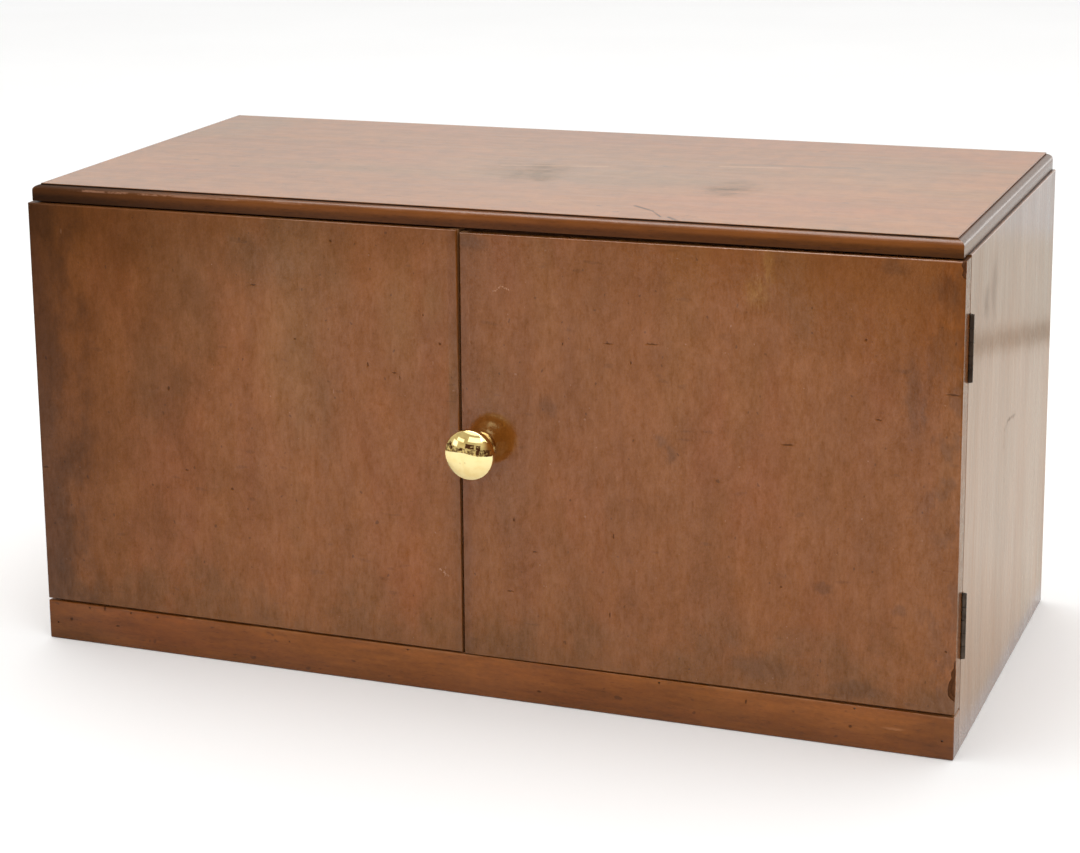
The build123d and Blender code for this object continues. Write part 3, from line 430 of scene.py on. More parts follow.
    # worn and painted highlight: a pale, broken line along the left part of the front, on the round below the quirk
    worn_highlight_line = f.mul(f.mul(f.ramp(z, H - 0.0036, H - 0.0029, 0.0, 1.0), f.ramp(z, H - 0.0018, H - 0.0025, 0.0, 1.0)), f.ramp(f.noise(140.0, (0.42, 1, 1), (3, 0, 9), 4.0, 0.72), 0.47, 0.60))
    worn_highlight_line = f.mul(worn_highlight_line, f.ramp(x, -0.05, -0.20, 0.25, 1.0))
    # painted shade: the edge darkens towards the left end, away from the lamp on the right
    edge = f.tone(edge, f.ramp(x, -0.300, -0.060, 0.34, 1.07))
    edge = f.mix(f.mul(worn_highlight_line, 0.42), edge, (0.40, 0.20, 0.12))
    end = f.mul(f.ramp(x, 0.2862, 0.2872, 0.0, 1.0), f.ramp(f.sub(f.add(y, x), Y0 + 0.0030 + 0.2905), 0.0000, 0.0006, 0.0, 1.0))
    # painted sheen: the right end of the moulding is lighter, for the bright reflection it shows
    edge = f.mix(f.mul(end, 0.75), edge, (0.180, 0.085, 0.045))
    # dirt and painted shade along the foot of the end, at the groove against the side
    edge = f.tone(edge, f.ramp(f.mul(end, f.ramp(z, TOP_UNDER + 0.0008, TOP_UNDER + 0.0002, 0.0, 1.0)), 0.0, 1.0, 1.0, 0.15))
    # painted shade: darker towards the quirk, where the end's reflection is dim
    edge = f.tone(edge, f.ramp(f.mul(end, f.ramp(z, H - 0.0050, H - 0.0024, 0.0, 1.0)), 0.0, 1.0, 1.0, 0.55))
    on_top = f.ramp(z, H - 0.00045, H - 0.00012, 0.0, 1.0)
    c = f.mix(on_top, edge, flat)
    out_y = f.sub(y, Y0 + 0.0030)
    out_x = f.sub(0.2905, f.math("ABSOLUTE", x))
    inset = f.lo(out_y, out_x)
    # dirt and painted shade: a near-black line in the quirk
    quirk = f.mul(f.mul(f.ramp(inset, 0.0028, 0.0036, 0.0, 1.0), f.ramp(inset, 0.0054, 0.0046, 0.0, 1.0)), f.inv(on_top))
    c = f.mix(f.mul(f.mul(quirk, f.ramp(f.noise(60.0, (0.4, 1, 1), (1, 4, 9), 4.0, 0.65), 0.36, 0.56, 0.42, 0.95)), f.ramp(x, 0.270, 0.2845, 1.0, 0.35)), c, (0.014, 0.007, 0.004))
    arris = f.mul(f.ramp(inset, 0.0056, 0.0044, 0.0, 1.0), on_top)
    c = f.tone(c, f.ramp(arris, 0.0, 1.0, 1.0, 0.70))
    f.colour(c)
    # the front of the edge has lost most of its gloss
    gone = f.mul(f.ramp(out_y, 0.0002, 0.0010, 1.0, 0.0), f.inv(on_top))
    dim = f.ramp(x, -0.292, -0.100, 0.34, 1.0)
    f.polish(f.hi(f.mul(f.mul(f.sub(f.sub(0.86, f.mul(gone, 0.56)), f.hi(f.hi(f.mul(stain, 0.42), f.mul(scratch, 0.34)), f.mul(quirk, 0.8))), f.hi(on_top, dim)), f.mul(f.ramp(y, -0.12, 0.15, 1.04, 0.91), f.ramp(x, -0.29, -0.10, 0.965, 1.0))), f.mul(f.mul(f.mul(end, f.inv(on_top)), f.ramp(z, TOP_UNDER + 0.0002, TOP_UNDER + 0.0009, 0.1, 1.0)), f.ramp(z, H - 0.0070, H - 0.0026, 1.0, 0.42))))
    f.rough(f.add(f.ramp(g["streak"], 0.2, 0.8, 0.39, 0.45), f.mul(stain, 0.12)))
    h = f.sub(f.add(f.mul(g["fleck"], 0.35), f.mul(g["streak"], 0.18)), f.mul(g["pores"], 0.20))
    h = f.add(h, f.mul(f.noise(70.0, (0.35, 1, 1), (1, 1, 1), 2.0, 0.5), 2.0))
    f.bump(h, 0.00010, 0.7)
    return f


top_finish().put("top_board")


# ---------------------------------------------------------------- sides
def side_finish(name, s, shift):
    f = Finish(name, coat=1.0, coat_rough=0.10, coat_ior=1.5, specular=0.22)
    g = grain(f, "z", shift, wander=0.006)
    x, y, z = f.axis(0), f.axis(1), f.axis(2)
    c = mahogany(f, g, (0.168, 0.0510, 0.0062), (0.206, 0.0660, 0.0088), (0.244, 0.0810, 0.0124), (0.160, 0.0580, 0.0088), (0.214, 0.0590, 0.0072), streak=0.04, pores=0.08, fleck=0.05)
    wob = f.noise(24.0, (1, 1, 1), (2.0, 3.0, 1.0), 4.0, 0.6)
    shade = f.ramp(f.noise(8.0, (1, 1, 0.7), (3, 0, 0), 2.0, 0.5), 0.3, 0.7, 0.88, 1.08)
    # painted shade: darker along the bottom, near the floor
    shade = f.mul(shade, f.ramp(f.add(z, f.ramp(wob, 0.3, 0.7, -0.008, 0.008)), 0.0, 0.030, 0.74, 1.0))
    # dull, greyed streaks in the polish and a brown bloom near the front edge
    dull = f.noise(30.0, (1, 1, 0.10), (6, 2, 1), 3.0, 0.55)
    haze = f.noise(17.0, (1, 1, 0.5), (1, 7, 3), 3.0, 0.6)
    wide = f.noise(62.0, (1, 1, 0.06), (2, 5, 1), 3.0, 0.55)
    shine = f.add(f.add(f.ramp(dull, 0.3, 0.7, 0.85, 0.98), f.ramp(wide, 0.3, 0.7, -0.05, 0.03)), f.ramp(haze, 0.3, 0.7, -0.04, 0.02))
    if s > 0:
        bloom = f.ramp(f.spots([((XO, -0.0400, 0.256), (0.02, 0.0120, 0.024)), ((XO, -0.0640, 0.250), (0.02, 0.0090, 0.012))], at=f.warp(45.0, (0, 0.016, 0.012))), 0.1, 1.25, 1.0, 0.0)
        arc = f.hi(f.hi(f.stroke((0, 0.0375, 0.1585), (0, 0.0150, 0.1615), 0.0016, plane=0), f.stroke((0, 0.0150, 0.1615), (0, 0.0040, 0.1580), 0.0014, plane=0)),
                   f.stroke((0, 0.0040, 0.1580), (0, 0.0030, 0.1470), 0.0014, plane=0))
        arc = f.mul(arc, f.ramp(f.noise(420.0, detail=1.0), 0.38, 0.58))
        shine = f.sub(shine, f.hi(f.mul(bloom, 0.36), f.mul(arc, 0.60)))
        c = f.mix(f.mul(f.hi(arc, f.mul(bloom, 0.6)), 0.75), c, (0.090, 0.036, 0.012))
    c = f.tone(c, shade)
    outer = f.ramp(f.math("ABSOLUTE", x), XI + 0.0010, XO - 0.0010, 0.0, 1.0)
    # dirt and painted shade: a dark, dull line where the top board's end meets the side's top edge
    ledge = f.mul(f.ramp(z, TOP_UNDER - 0.0005, TOP_UNDER - 0.0002, 0.0, 1.0), f.ramp(f.math("ABSOLUTE", x), XO - 0.0008, XO - 0.0014, 0.0, 1.0))
    inner = f.tone(f.mix(f.ramp(g["ribbon"], 0.3, 0.7), (0.215, 0.082, 0.026), (0.300, 0.128, 0.046)), f.ramp(g["streak"], 0.25, 0.75, 0.86, 1.12))
    c = f.mix(outer, inner, c)
    cut_edge = f.ramp(y, YC + 0.0006, YC + 0.0002, 0.0, 1.0)
    c = f.tone(c, f.ramp(cut_edge, 0.0, 1.0, 1.0, 0.50))
    c = f.mix(f.mul(ledge, 0.85), c, (0.030, 0.014, 0.007))
    f.colour(c)
    f.polish(f.mul(f.mul(shine, f.ramp(outer, 0.0, 1.0, 0.35, 1.0)), f.ramp(ledge, 0.0, 1.0, 1.0, 0.08)))
    f.rough(f.ramp(g["streak"], 0.2, 0.8, 0.34, 0.46))
    h = f.sub(f.add(f.mul(g["fleck"], 0.25), f.mul(g["streak"], 0.35)), f.mul(g["pores"], 0.20))
    h = f.add(h, f.mul(dull, 4.0))
    f.bump(h, 0.00008, 0.7)
    return f


side_finish("right_side_polish", 1, (0.15, 0.45, 0.25)).put("right_side_panel")
side_finish("left_side_polish", -1, (0.55, 0.15, 0.85)).put("left_side_panel")


# ---------------------------------------------------------------- plinth rail
def plinth_finish():
    f = Finish("plinth_polish", coat=1.0, coat_rough=0.16, coat_ior=1.45, specular=0.06)
    g = grain(f, "x", (0.6, 0.3, 0.9), wander=0.004)
    x, y, z = f.axis(0), f.axis(1), f.axis(2)
    c = mahogany(f, g, (0.126, 0.0320, 0.0022), (0.164, 0.0470, 0.0042), (0.206, 0.0640, 0.0082), (0.130, 0.0430, 0.0038), (0.174, 0.0420, 0.0032), streak=0.15, pores=0.30)
    wob = f.noise(30.0, (0.5, 1, 1), (1.0, 1.0, 5.0), 4.0, 0.6)
    # painted shade and highlight: darker towards the floor, lighter along the top
    shade = f.ramp(f.add(z, f.ramp(wob, 0.3, 0.7, -0.003, 0.003)), 0.0005, 0.0230, 0.78, 1.16, smooth=False)
    # painted shade: lighter towards the right and darker towards the left end, away from the lamp on the right; also
    # darker just before the right end
    shade = f.mul(shade, f.mul(f.ramp(x, -0.05, 0.22, 1.0, 1.06, smooth=False), f.ramp(x, 0.262, 0.284, 1.0, 0.84)))
    shade = f.mul(shade, f.ramp(f.add(x, f.ramp(wob, 0.25, 0.75, -0.02, 0.02)), -0.292, -0.200, 0.70, 1.0))
    shade = f.mul(shade, f.ramp(wob, 0.3, 0.7, 0.93, 1.06))
    shade = f.mul(shade, f.ramp(f.noise(240.0, (0.6, 1, 1.0), (6.6, 0, 0.4), 1.0, 0.4), 0.73, 0.80, 1.0, 0.62))
    marks = [((-0.2760, Y0, 0.0143), (0.0014, 0.02, 0.0015)), ((-0.2420, Y0, 0.0137), (0.0018, 0.02, 0.0008)), ((-0.2128, Y0, 0.0232), (0.0013, 0.02, 0.0009)),
             ((-0.2511, Y0, 0.0244), (0.0011, 0.02, 0.0020)), ((0.2337, Y0, 0.0125), (0.0014, 0.02, 0.0012)), ((0.1724, Y0, 0.0191), (0.0008, 0.02, 0.0018)),
             ((0.045, Y0, 0.0080), (0.0017, 0.02, 0.0008)), ((-0.12, Y0, 0.0185), (0.0010, 0.02, 0.0007))]
    dent = f.ramp(f.spots(marks, at=f.warp(800.0, (0.0010, 0, 0.0010))), 0.30, 1.15, 1.0, 0.0)
    shade = f.mul(shade, f.ramp(dent, 0.0, 1.0, 1.0, 0.42))
    c = f.tone(c, shade)
    pale = f.ramp(f.spots([((-0.1896, Y0, 0.0252), (0.0030, 0.02, 0.0008)), ((0.2582, Y0, 0.0144), (0.0075, 0.02, 0.0011))], at=f.warp(500.0, (0.002, 0, 0.001))), 0.3, 1.15, 1.0, 0.0)
    c = f.mix(f.mul(pale, 0.42), c, (0.36, 0.150, 0.055))
    # wear and painted highlight: a pale, broken line along the top arris
    worn = f.mul(f.ramp(z, 0.0240, 0.0252, 0.0, 1.0), f.ramp(f.noise(60.0, (0.3, 1, 1), (7, 0, 0), 3.0, 0.6), 0.48, 0.62))
    c = f.mix(f.mul(worn, 0.40), c, (0.28, 0.115, 0.040))
    outer = f.ramp(f.math("ABSOLUTE", x), XO - 0.0008, XO - 0.0003, 0.0, 1.0)
    bare = f.mul(f.ramp(z, 0.0250, 0.0254, 0.0, 1.0), f.ramp(y, Y0 + 0.0014, Y0 + 0.0022, 0.0, 1.0))
    c = f.mix(f.mul(bare, 0.80), c, (0.340, 0.160, 0.066))
    f.colour(c)
    f.polish(f.hi(f.mul(f.mul(f.ramp(wob, 0.3, 0.7, 0.52, 0.72), f.ramp(x, -0.290, -0.235, 0.74, 1.0)), f.ramp(dent, 0.0, 1.0, 1.0, 0.3)), outer))
    f.rough(f.ramp(g["streak"], 0.2, 0.8, 0.40, 0.52))
    h = f.sub(f.add(f.mul(g["fleck"], 0.40), f.mul(g["streak"], 0.50)), f.add(f.mul(g["pores"], 0.30), f.mul(dent, 3.0)))
    f.bump(f.add(h, f.mul(wob, 3.0)), 0.00010, 0.7)
    return f


plinth_finish().put("plinth_rail")


# ---------------------------------------------------------------- inner boards
def inner_finish(name, along, shift, deep, mid, light, olive, red, coat=0.25, streak=0.14, rough=(0.46, 0.62), pores=0.26, dust=0.0, rings=False):
    f = Finish(name, coat=coat, coat_rough=0.30, specular=0.3)
    g = grain(f, along, shift, wander=0.010)
    c = mahogany(f, g, deep, mid, light, olive, red, streak=streak, pores=pores)
    if rings:
        late = f.math("SINE", f.mul(f.vec("LENGTH", f.vec("MULTIPLY", f.vec("SUBTRACT", g["at"], (0.4, 0.2, -0.5)), GRAIN[along])), 900.0))
        c = f.tone(c, f.ramp(late, -0.2, 1.0, 1.0, 0.80))
    c = f.tone(c, f.ramp(f.noise(11.0, (1, 1, 1), tuple(k + 1 for k in shift), 3.0, 0.55), 0.3, 0.7, 0.90, 1.06))
    if dust:
        c = f.mix(f.mul(f.ramp(f.noise(30.0, (1, 1, 1), shift, 4.0, 0.65), 0.42, 0.68), dust), c, (0.26, 0.20, 0.15))
    f.colour(c)
    f.rough(f.ramp(g["streak"], 0.2, 0.8, *rough))
    f.bump(f.sub(f.add(f.mul(g["fleck"], 0.5), f.mul(g["streak"], 0.5)), f.mul(g["pores"], 0.35)), 0.00016, 0.8)
    return f


M_IN = ((0.200, 0.070, 0.021), (0.255, 0.096, 0.031), (0.310, 0.122, 0.042), (0.215, 0.092, 0.031), (0.270, 0.088, 0.027))
inner_finish("shelf_polish", "x", (0.9, 0.2, 0.4), *M_IN, coat=0.45, dust=0.10).put("shelf")
inner_finish("bottom_board_polish", "x", (0.1, 0.8, 0.3), *M_IN, coat=0.45, dust=0.16).put("bottom_board")
inner_finish("front_rail_polish", "x", (0.5, 0.5, 0.7), *M_IN, coat=0.35).put("front_top_rail")
PINE = ((0.42, 0.255, 0.125), (0.52, 0.34, 0.18), (0.60, 0.41, 0.235), (0.46, 0.30, 0.15), (0.54, 0.33, 0.17))
inner_finish("pine_lengthwise", "x", (0.3, 0.6, 0.2), *PINE, coat=0.0, rough=(0.58, 0.74), pores=0.10, dust=0.22, rings=True).put("back_top_rail")
inner_finish("pine_bearer", "y", (0.8, 0.1, 0.6), *PINE, coat=0.0, rough=(0.58, 0.74), pores=0.10, rings=True).put("left_shelf_bearer", "right_shelf_bearer")
inner_finish("pine_block", "x", (0.2, 0.9, 0.5), *PINE, coat=0.0, rough=(0.60, 0.78), pores=0.10, dust=0.40, rings=True).put("glue_blocks")
BACK = ((0.26, 0.155, 0.085), (0.33, 0.205, 0.115), (0.40, 0.255, 0.15), (0.29, 0.19, 0.105), (0.34, 0.19, 0.10))
inner_finish("back_board", "x", (0.7, 0.7, 0.1), *BACK, coat=0.05, rough=(0.52, 0.70), streak=0.13, pores=0.22, dust=0.20).put("back_panel")
BEECH = ((0.55, 0.38, 0.23), (0.62, 0.45, 0.28), (0.68, 0.50, 0.33), (0.58, 0.42, 0.26), (0.62, 0.42, 0.26))
inner_finish("beech_dowel", "x", (0.4, 0.4, 0.4), *BEECH, coat=0.0, rough=(0.55, 0.7), pores=0.25).put("rail_dowels")


# ---------------------------------------------------------------- metals
def metal(name, base, dull, dark, rough, wear=0.5, scale=300.0, specular=0.5, metallic=1.0, brushed=None, depth=0.00004):
    """base where rubbed, dull where tarnished, dark in the spots."""
    f = Finish(name, metallic=metallic, specular=specular)
    cloud = f.noise(scale * 0.35, (1, 1, 1), (1, 2, 3), 4.0, 0.6)
    c = f.mix(f.ramp(cloud, 0.5 - 0.2 * wear, 0.5 + 0.2), base, dull)
    pits = f.ramp(f.noise(scale * 4.0, (1, 1, 1), (5, 1, 2), 2.0, 0.5), 0.64, 0.74)
    c = f.mix(f.mul(pits, 0.7), c, dark)
    f.colour(c)
    lines = f.noise(scale * 8.0, brushed or (1, 1, 1), (3, 3, 1), 2.0, 0.5)
    f.rough(f.add(f.ramp(cloud, 0.3, 0.7, rough[0], rough[1]), f.ramp(lines, 0.3, 0.7, -0.04, 0.04)))
    f.bump(f.sub(lines, f.mul(pits, 1.2)), depth, 0.8)
    return f


leaves = [n for n in nodes if "_hinge_" in n and n.endswith("leaf")]
pins = [n for n in nodes if "_hinge_" in n and n.endswith("pin")]
metal("hinge_oxidised_steel", (0.085, 0.066, 0.052), (0.045, 0.034, 0.027), (0.012, 0.009, 0.007), (0.34, 0.56), brushed=(1, 1, 0.1)).put(*leaves)
metal("hinge_pin_steel", (0.11, 0.09, 0.075), (0.05, 0.038, 0.030), (0.015, 0.011, 0.009), (0.30, 0.50), brushed=(0.3, 0.3, 1)).put(*pins)
metal("hinge_screw_steel", (0.16, 0.14, 0.12), (0.075, 0.060, 0.050), (0.02, 0.015, 0.012), (0.30, 0.50)).put("carcass_hinge_screws", "left_door_hinge_screws", "right_door_hinge_screws")
metal("screw_steel", (0.42, 0.40, 0.37), (0.25, 0.22, 0.19), (0.06, 0.045, 0.035), (0.26, 0.46)).put(
    "top_board_screws", "back_panel_screws", "shelf_bearer_screws", "catch_screws", "catch_strike_screw", "knob_screw", "knob_washer")
metal("brad_steel", (0.16, 0.13, 0.11), (0.06, 0.045, 0.035), (0.02, 0.015, 0.012), (0.40, 0.60)).put("plinth_brads")
metal("bolt_brass", (0.70, 0.52, 0.22), (0.42, 0.29, 0.12), (0.10, 0.065, 0.03), (0.22, 0.42), brushed=(1, 1, 0.08)).put(
    "upper_bolt", "lower_bolt", "upper_bolt_plate", "lower_bolt_plate", "upper_bolt_keeper", "lower_bolt_keeper", "bolt_plate_screws", "keeper_screws")
metal("zinc_plate", (0.56, 0.56, 0.54), (0.40, 0.40, 0.39), (0.16, 0.15, 0.14), (0.26, 0.40), brushed=(0.1, 1, 1)).put("catch_pole_plates", "catch_strike")
metal("ferrite", (0.060, 0.060, 0.062), (0.040, 0.040, 0.042), (0.02, 0.02, 0.02), (0.50, 0.66), metallic=0.4).put("catch_magnet")


def brass_finish(name, coat_scratch, bright=(0.955, 0.800, 0.400), dull=(0.900, 0.715, 0.320), rough=(0.030, 0.055)):
    f = Finish(name, metallic=1.0)
    cloud = f.noise(160.0, (1, 1, 1), (2, 1, 4), 3.0, 0.55)
    c = f.mix(f.ramp(cloud, 0.35, 0.70), bright, dull)
    pits = f.ramp(f.spots([((KNOB[0] - 0.0038, -0.1515, KNOB[2] - 0.0040), (0.0008, 0.010, 0.0006)), ((KNOB[0] - 0.0006, -0.1515, KNOB[2] - 0.0033), (0.0009, 0.010, 0.0006))]), 0.5, 1.1, 1.0, 0.0)
    c = f.mix(f.mul(pits, 0.22), c, (0.42, 0.31, 0.14))
    f.colour(c)
    hair = f.noise(5200.0, (1.0, 1.0, 0.10), (1, 1, 1), 1.0, 0.5)
    f.rough(f.add(f.ramp(cloud, 0.3, 0.7, *rough), f.mul(pits, 0.2)))
    f.bump(f.sub(f.add(f.mul(hair, coat_scratch), f.mul(cloud, 1.0)), f.mul(pits, 1.5)), 0.00004, 0.30)
    return f


brass_finish("knob_brass", 0.05).put("knob")
brass_finish("rose_brass", 0.12, (0.62, 0.42, 0.16), (0.42, 0.25, 0.08), (0.16, 0.26)).put("knob_rose")

# moulded catch case
plastic = Finish("catch_moulding", specular=0.45)
tone = plastic.noise(220.0, (1, 1, 1), (0, 0, 0), 3.0, 0.6)
plastic.colour(plastic.mix(plastic.ramp(tone, 0.35, 0.7), (0.055, 0.028, 0.017), (0.080, 0.044, 0.028)))
plastic.rough(plastic.ramp(tone, 0.3, 0.7, 0.38, 0.52))
plastic.bump(plastic.noise(1800.0, (1, 1, 1), (0, 0, 0), 2.0, 0.5), 0.00005, 0.6)
plastic.put("catch_case")


# ---------------------------------------------------------------- studio
def plain(name, colour, rough, variation=0.02):
    f = Finish(name, specular=0.3)
    n = f.noise(3.0, (1, 1, 1), (0, 0, 0), 2.0, 0.5)
    f.colour(f.mix(f.ramp(n, 0.3, 0.7), tuple(c * (1 - variation) for c in colour), colour))
    f.rough(f.ramp(n, 0.3, 0.7, rough, rough + 0.05))
    return f.mat


def floor_mesh():
    """A wide, flat sheet."""
    ring, spokes = [0.0, 0.4, 0.8, 1.4, 2.4, 4.5, 9.0, 18.0], 48
    verts, faces = [(0.0, 0.0, 0.0)], []
    for r in ring[1:]:
        for k in range(spokes):
            a = 2 * math.pi * k / spokes
            verts.append((r * math.cos(a), r * math.sin(a), 0.0))
    for k in range(spokes):
        faces.append((0, 1 + k, 1 + (k + 1) % spokes))
    for i in range(len(ring) - 2):
        a0, b0 = 1 + i * spokes, 1 + (i + 1) * spokes
        for k in range(spokes):
            faces.append((a0 + k, b0 + k, b0 + (k + 1) % spokes, a0 + (k + 1) % spokes))
    me = bpy.data.meshes.new("studio_floor")
    me.from_pydata(verts, [], faces)
    me.update()
    return me


floor = bpy.data.objects.new("studio_floor", floor_mesh())
scene.collection.objects.link(floor)
floor.location = (0, 0, -0.0002)
floor.data.materials.append(plain("floor_paper", (0.93, 0.928, 0.925), 0.75, 0.01))


class Glow(Finish):
    """Paint for studio flats that only reflections see: a radiance that changes over the flat, and holes in it."""

    def __init__(self, name):
        super().__init__(name)
        self.tree.nodes.remove(self.shader)
        self.light = self.tree.nodes.new("ShaderNodeEmission")
        self.clear = self.tree.nodes.new("ShaderNodeBsdfTransparent")
        self.blend = self.tree.nodes.new("ShaderNodeMixShader")
        self.tree.links.new(self.clear.outputs[0], self.blend.inputs[1])
        self.tree.links.new(self.light.outputs[0], self.blend.inputs[2])
        self.tree.links.new(self.blend.outputs[0], self.out.inputs["Surface"])
        self.blend.inputs[0].default_value = 1.0

    def shine(self, colour, strength, cover=1.0):
        self.link(colour, self.light.inputs["Color"])
        self.link(strength, self.light.inputs["Strength"])
        self.link(cover, self.blend.inputs[0])


def reflected_only(o):
    """A flat that stands outside the picture and shows only in polish."""
    o.visible_camera = False
    o.visible_diffuse = False
    o.visible_shadow = False
    o.visible_transmission = False
    o.visible_volume_scatter = False
    return o


def room_mesh(radius, height, drop, edge):
    """A round room: wall and ceiling, seen from inside."""
    n, verts, faces = 64, [], []
    rows = [(radius, -drop), (radius, height * 0.34), (radius, height * 0.67), (radius, height), (radius * 0.6, height * 1.12), (radius * 0.25, height * 1.18)]
    for r, z in rows:
        for k in range(n):
            a = 2 * math.pi * k / n
            verts.append((r * math.cos(a), r * math.sin(a), z))
    for i in range(len(rows) - 1):
        for k in range(n):
            a, b = i * n + k, i * n + (k + 1) % n
            faces.append((a, b, b + n, a + n))
    verts.append((0, 0, height * 1.19))
    last = (len(rows) - 1) * n
    for k in range(n):
        faces.append((last + k, last + (k + 1) % n, len(verts) - 1))
    # a low screen where the bench ends, nearer to the right
    base = len(verts)
    spans = [-110 + 5 * k for k in range(45)]
    for z in (-drop, 0.10, 0.20):
        for az in spans:
            r = next(r0 + (r1 - r0) * (az - a0) / (a1 - a0) for (a0, r0), (a1, r1) in zip(edge, edge[1:]) if a0 <= az <= a1)
            verts.append((r * math.sin(math.radians(az)), -r * math.cos(math.radians(az)), z))
    for i in range(2):
        for k in range(44):
            a = base + i * 45 + k
            faces.append((a, a + 1, a + 46, a + 45))
    me = bpy.data.meshes.new("studio_room")
    me.from_pydata(verts, [], faces)
    me.update()
    return me


def studio_room():
    """The room as the polish sees it: mid-grey walls, a dim ceiling, windows, a pale backdrop behind, and clutter at bench height in front."""
    g = Glow("studio_room_light")
    away = g.vec("NORMALIZE", g.vec("SUBTRACT", g.p, (0.0, 0.0, 0.157)))
    sep = g.tree.nodes.new("ShaderNodeSeparateXYZ")
    g.tree.links.new(away, sep.inputs[0])
    dx, dy, dz = sep.outputs
    azimuth = g.math("ARCTAN2", dx, g.mul(dy, -1.0))
    height = g.math("ARCSINE", dz)
    at = g.tree.nodes.new("ShaderNodeCombineXYZ")
    g.link(azimuth, at.inputs[0])
    g.link(height, at.inputs[1])
    at = at.outputs[0]
    level = g.ramp(height, 0.15, 1.10, 0.66, 0.44)
    behind = g.mul(g.ramp(dy, 0.0, 0.45, 0.0, 1.0), g.ramp(height, 0.95, 0.40, 0.0, 1.0))
    level = g.add(g.mul(level, g.inv(behind)), g.mul(behind, 0.985))

    def window(az, el, half_az, half_el, soft=0.03):
        """A rectangle of brighter wall, in degrees."""
        a, e, u, v = (math.radians(k) for k in (az, el, half_az, half_el))
        du = g.math("ABSOLUTE", g.sub(azimuth, a))
        dv = g.math("ABSOLUTE", g.sub(height, e))
        return g.mul(g.ramp(du, u + soft, u, 0.0, 1.0), g.ramp(dv, v + soft, v, 0.0, 1.0))

    def any_of(places, soft=0.03):
        held = None
        for az, el, u, v in places:
            w = window(az, el, u, v, soft)
            held = w if held is None else g.hi(held, w)
        return held

    level = g.mul(level, g.ramp(g.noise(1.0, (2.2, 3.6, 1.0), (7.0, 1.4, 0), 2.0, 0.5, at=at), 0.3, 0.7, 0.86, 1.12))
    bright = any_of(((-55, 12, 6.5, 4.5), (-41, 23.5, 10, 2.5), (4, 31, 20, 5), (-8, 52, 42, 7), (-96, 40, 10, 8)), 0.05)
    level = g.add(level, g.mul(bright, 1.1))
    overhead = g.ramp(height, 1.03, 1.12, 0.0, 1.0)
    level = g.add(level, g.mul(overhead, 4.3))
    # and a bright gap in the backdrop, to the right of the cabinet
    gap = g.mul(g.mul(g.ramp(azimuth, 2.60, 2.72, 0.0, 1.0), g.ramp(azimuth, 3.06, 2.96, 0.0, 1.0)), g.ramp(height, 0.15, 0.06, 0.0, 1.0))
    level = g.add(level, g.mul(gap, 1.35))
    # a dark, brown corner of the room to the right
    corner = g.mul(g.mul(g.ramp(azimuth, 0.38, 0.72, 0.0, 1.0), g.ramp(azimuth, 2.3, 1.9, 0.0, 1.0)), g.ramp(height, 1.10, 0.60, 0.0, 1.0))
    paint = g.mix(bright, g.mix(behind, (1.0, 0.88, 0.66), (1.0, 0.972, 0.935)), (1.0, 0.99, 0.97))
    paint = g.mix(g.hi(overhead, gap), paint, (1.0, 0.985, 0.96))
    paint = g.mix(corner, paint, (0.36, 0.150, 0.050))
    # things on the far benches
    ragged = g.vec("ADD", at, g.vec("SCALE", g.vec("SUBTRACT", g.warp(2.0, (1.0, 1.0, 0.0)), g.p), 0.06))
    stack = any_of(((-10.5, 12.5, 11.5, 5.0), (13, 5, 5.0, 11), (31.5, -3, 5.5, 8), (-71, 4, 3.5, 4), (-59, -6, 3, 8), (-34, 2, 4.5, 3), (-8, -1, 4.5, 2.0), (62, 4, 7, 12), (-92, 3, 6, 10)))
    cells = g.noise(1.0, (7.0, 9.0, 1.0), (3.1, 0.4, 0), 1.0, 0.5, at=ragged)
    low = g.mul(g.ramp(height, 0.13, 0.06, 0.0, 1.0), g.ramp(dy, 0.35, 0.10, 0.0, 1.0))
    stack = g.hi(g.mul(stack, g.ramp(cells, 0.56, 0.66, 1.0, 0.3)), g.mul(g.mul(low, g.ramp(cells, 0.44, 0.56, 1.0, 0.0)), 0.75))
    paint = g.mix(stack, paint, (0.110, 0.046, 0.034))
    g.shine(paint, level)
    o = bpy.data.objects.new("studio_room", room_mesh(3.6, 2.9, 0.002, ((-110, 0.60), (-80, 0.72), (-60, 1.02), (-49, 1.30), (-30, 1.75), (-20, 1.78), (-8, 1.28), (9, 0.92), (38, 0.84), (60, 0.95), (90, 1.10), (110, 1.25))))
    scene.collection.objects.link(o)
    o.data.materials.append(g.mat)
    return reflected_only(o)


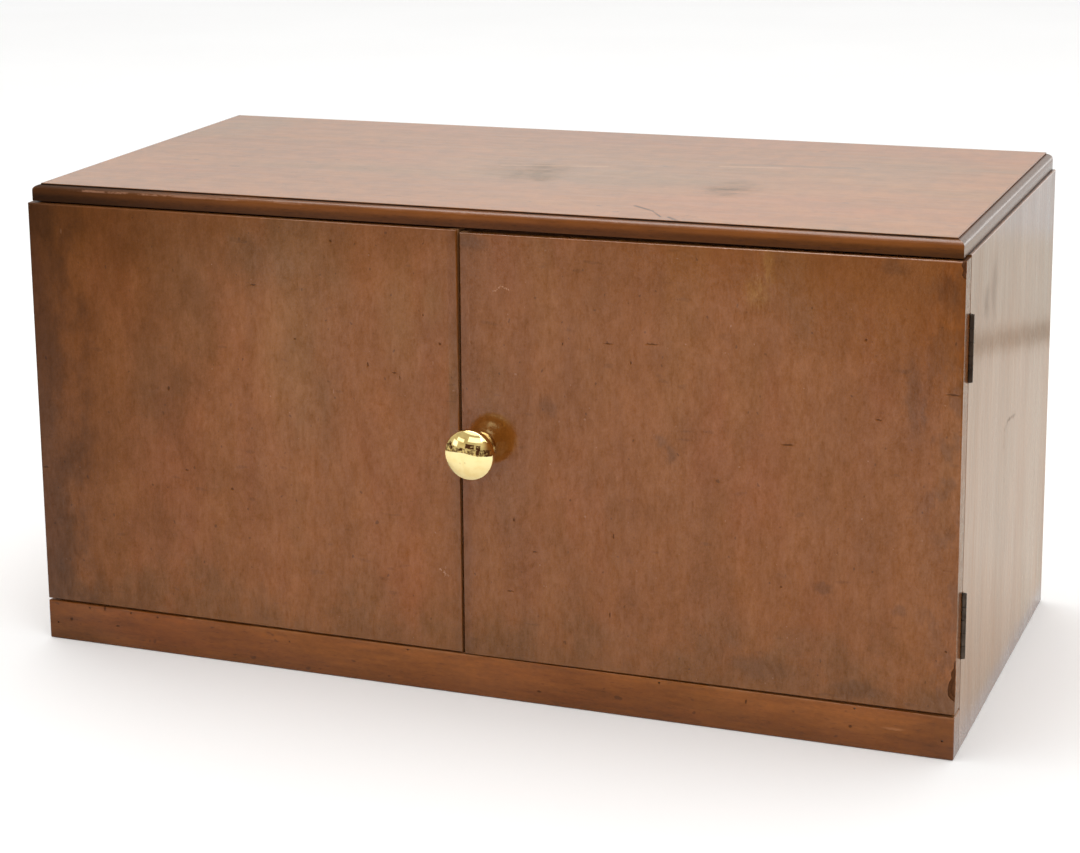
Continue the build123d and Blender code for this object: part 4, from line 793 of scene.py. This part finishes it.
def bench_glow():
    """The lit bench top behind and to the right, brighter than the floor round it."""
    g = Glow("bench_glow_light")
    x, y = g.axis(0), g.axis(1)
    cover = g.mul(g.ramp(x, 0.294, 0.300, 0.0, 1.0), g.ramp(y, -0.14, 0.0, 0.0, 1.0))
    far = g.ramp(y, 0.72, 1.05, 0.975, 0.95)
    # painted shadow: dimmer and warmer towards the cabinet's foot, for its contact shadow on the bench
    foot = g.ramp(y, -0.05, 0.26, 0.0, 1.0, smooth=False)
    far = g.mul(far, g.ramp(foot, 0.0, 1.0, 0.76, 1.0))
    # a shelf edge and its shadow cross it
    edge = g.math("ABSOLUTE", g.sub(g.add(y, g.mul(x, 1.3)), 1.432))
    shadow = g.ramp(edge, 0.080, 0.015, 0.0, 1.0)
    far = g.mul(far, g.ramp(shadow, 0.0, 1.0, 1.0, 0.46))
    paint = g.mix(g.ramp(y, 1.25, 1.42), g.mix(g.ramp(y, 0.85, 1.0), (1.0, 0.915, 0.790), (0.905, 0.855, 0.742)), (0.95, 0.965, 0.95))
    paint = g.mix(foot, (1.0, 0.84, 0.68), paint)
    g.shine(g.mix(g.mul(shadow, 0.6), paint, (1.0, 0.83, 0.60)), far, cover)
    me = bpy.data.meshes.new("bench_glow")
    xs, ys = (0.294, 0.5, 0.8, 1.3, 2.0), (-0.14, 0.3, 0.8, 1.4, 2.2, 3.0)
    verts = [(a, b, 0.0) for b in ys for a in xs]
    n = len(xs)
    faces = [(i * n + k, i * n + k + 1, (i + 1) * n + k + 1, (i + 1) * n + k) for i in range(len(ys) - 1) for k in range(n - 1)]
    me.from_pydata(verts, [], faces)
    me.update()
    o = bpy.data.objects.new("bench_glow", me)
    scene.collection.objects.link(o)
    o.location = (0, 0, 0.0015)
    me.materials.append(g.mat)
    return reflected_only(o)


studio_room()
bench_glow()


def softbox(name, at, aim, size, power, colour=(1, 1, 1)):
    light = bpy.data.lights.new(name, "AREA")
    light.shape = "RECTANGLE"
    light.size, light.size_y = size
    light.energy = power
    light.color = colour
    o = bpy.data.objects.new(name, light)
    scene.collection.objects.link(o)
    o.location = at
    o.rotation_mode = "QUATERNION"
    o.rotation_quaternion = (Vector(aim) - Vector(at)).to_track_quat("-Z", "Y")
    return o


world = bpy.data.worlds.new("studio_air")
scene.world = world
world.use_nodes = True
wt = world.node_tree
wt.nodes.clear()
wo = wt.nodes.new("ShaderNodeOutputWorld")
wb = wt.nodes.new("ShaderNodeBackground")
wb.inputs["Color"].default_value = (1.0, 1.0, 1.0, 1.0)
wb.inputs["Strength"].default_value = 1.0
wt.links.new(wb.outputs[0], wo.inputs["Surface"])

softbox("key_box", (1.15, -1.55, 1.75), (0.05, 0.0, 0.15), (1.3, 1.0), 9.0, (1.0, 0.975, 0.94))
softbox("top_box", (-0.15, 0.25, 2.1), (0.0, 0.0, 0.0), (1.9, 1.5), 12.0, (1.0, 0.985, 0.96))

# ---------------------------------------------------------------- camera, fitted to the photograph's view
right = Vector((0.917018, 0.398175, -0.023129))
down = Vector((0.067645, -0.212415, -0.974835))
fwd = Vector((-0.393068, 0.892377, -0.221723))
cam = bpy.data.cameras.new("photo_camera")
cam.sensor_fit = "HORIZONTAL"
cam.sensor_width = 36.0
cam.lens = 87.471
cam.shift_x = (540.0 - 380.0) / 1080.0
cam.shift_y = (290.0 - 426.5) / 1080.0
cam.clip_start, cam.clip_end = 0.05, 60.0
cam.dof.use_dof = False
camera = bpy.data.objects.new("photo_camera", cam)
scene.collection.objects.link(camera)
m = Matrix((right, -down, -fwd)).transposed().to_4x4()
m.translation = Vector((0.55922, -1.51627 + FORWARD, 0.59315))
camera.matrix_world = m
scene.camera = camera

scene.view_settings.view_transform = "Standard"
scene.view_settings.look = "None"
scene.view_settings.exposure = 0.0
scene.view_settings.gamma = 1.0
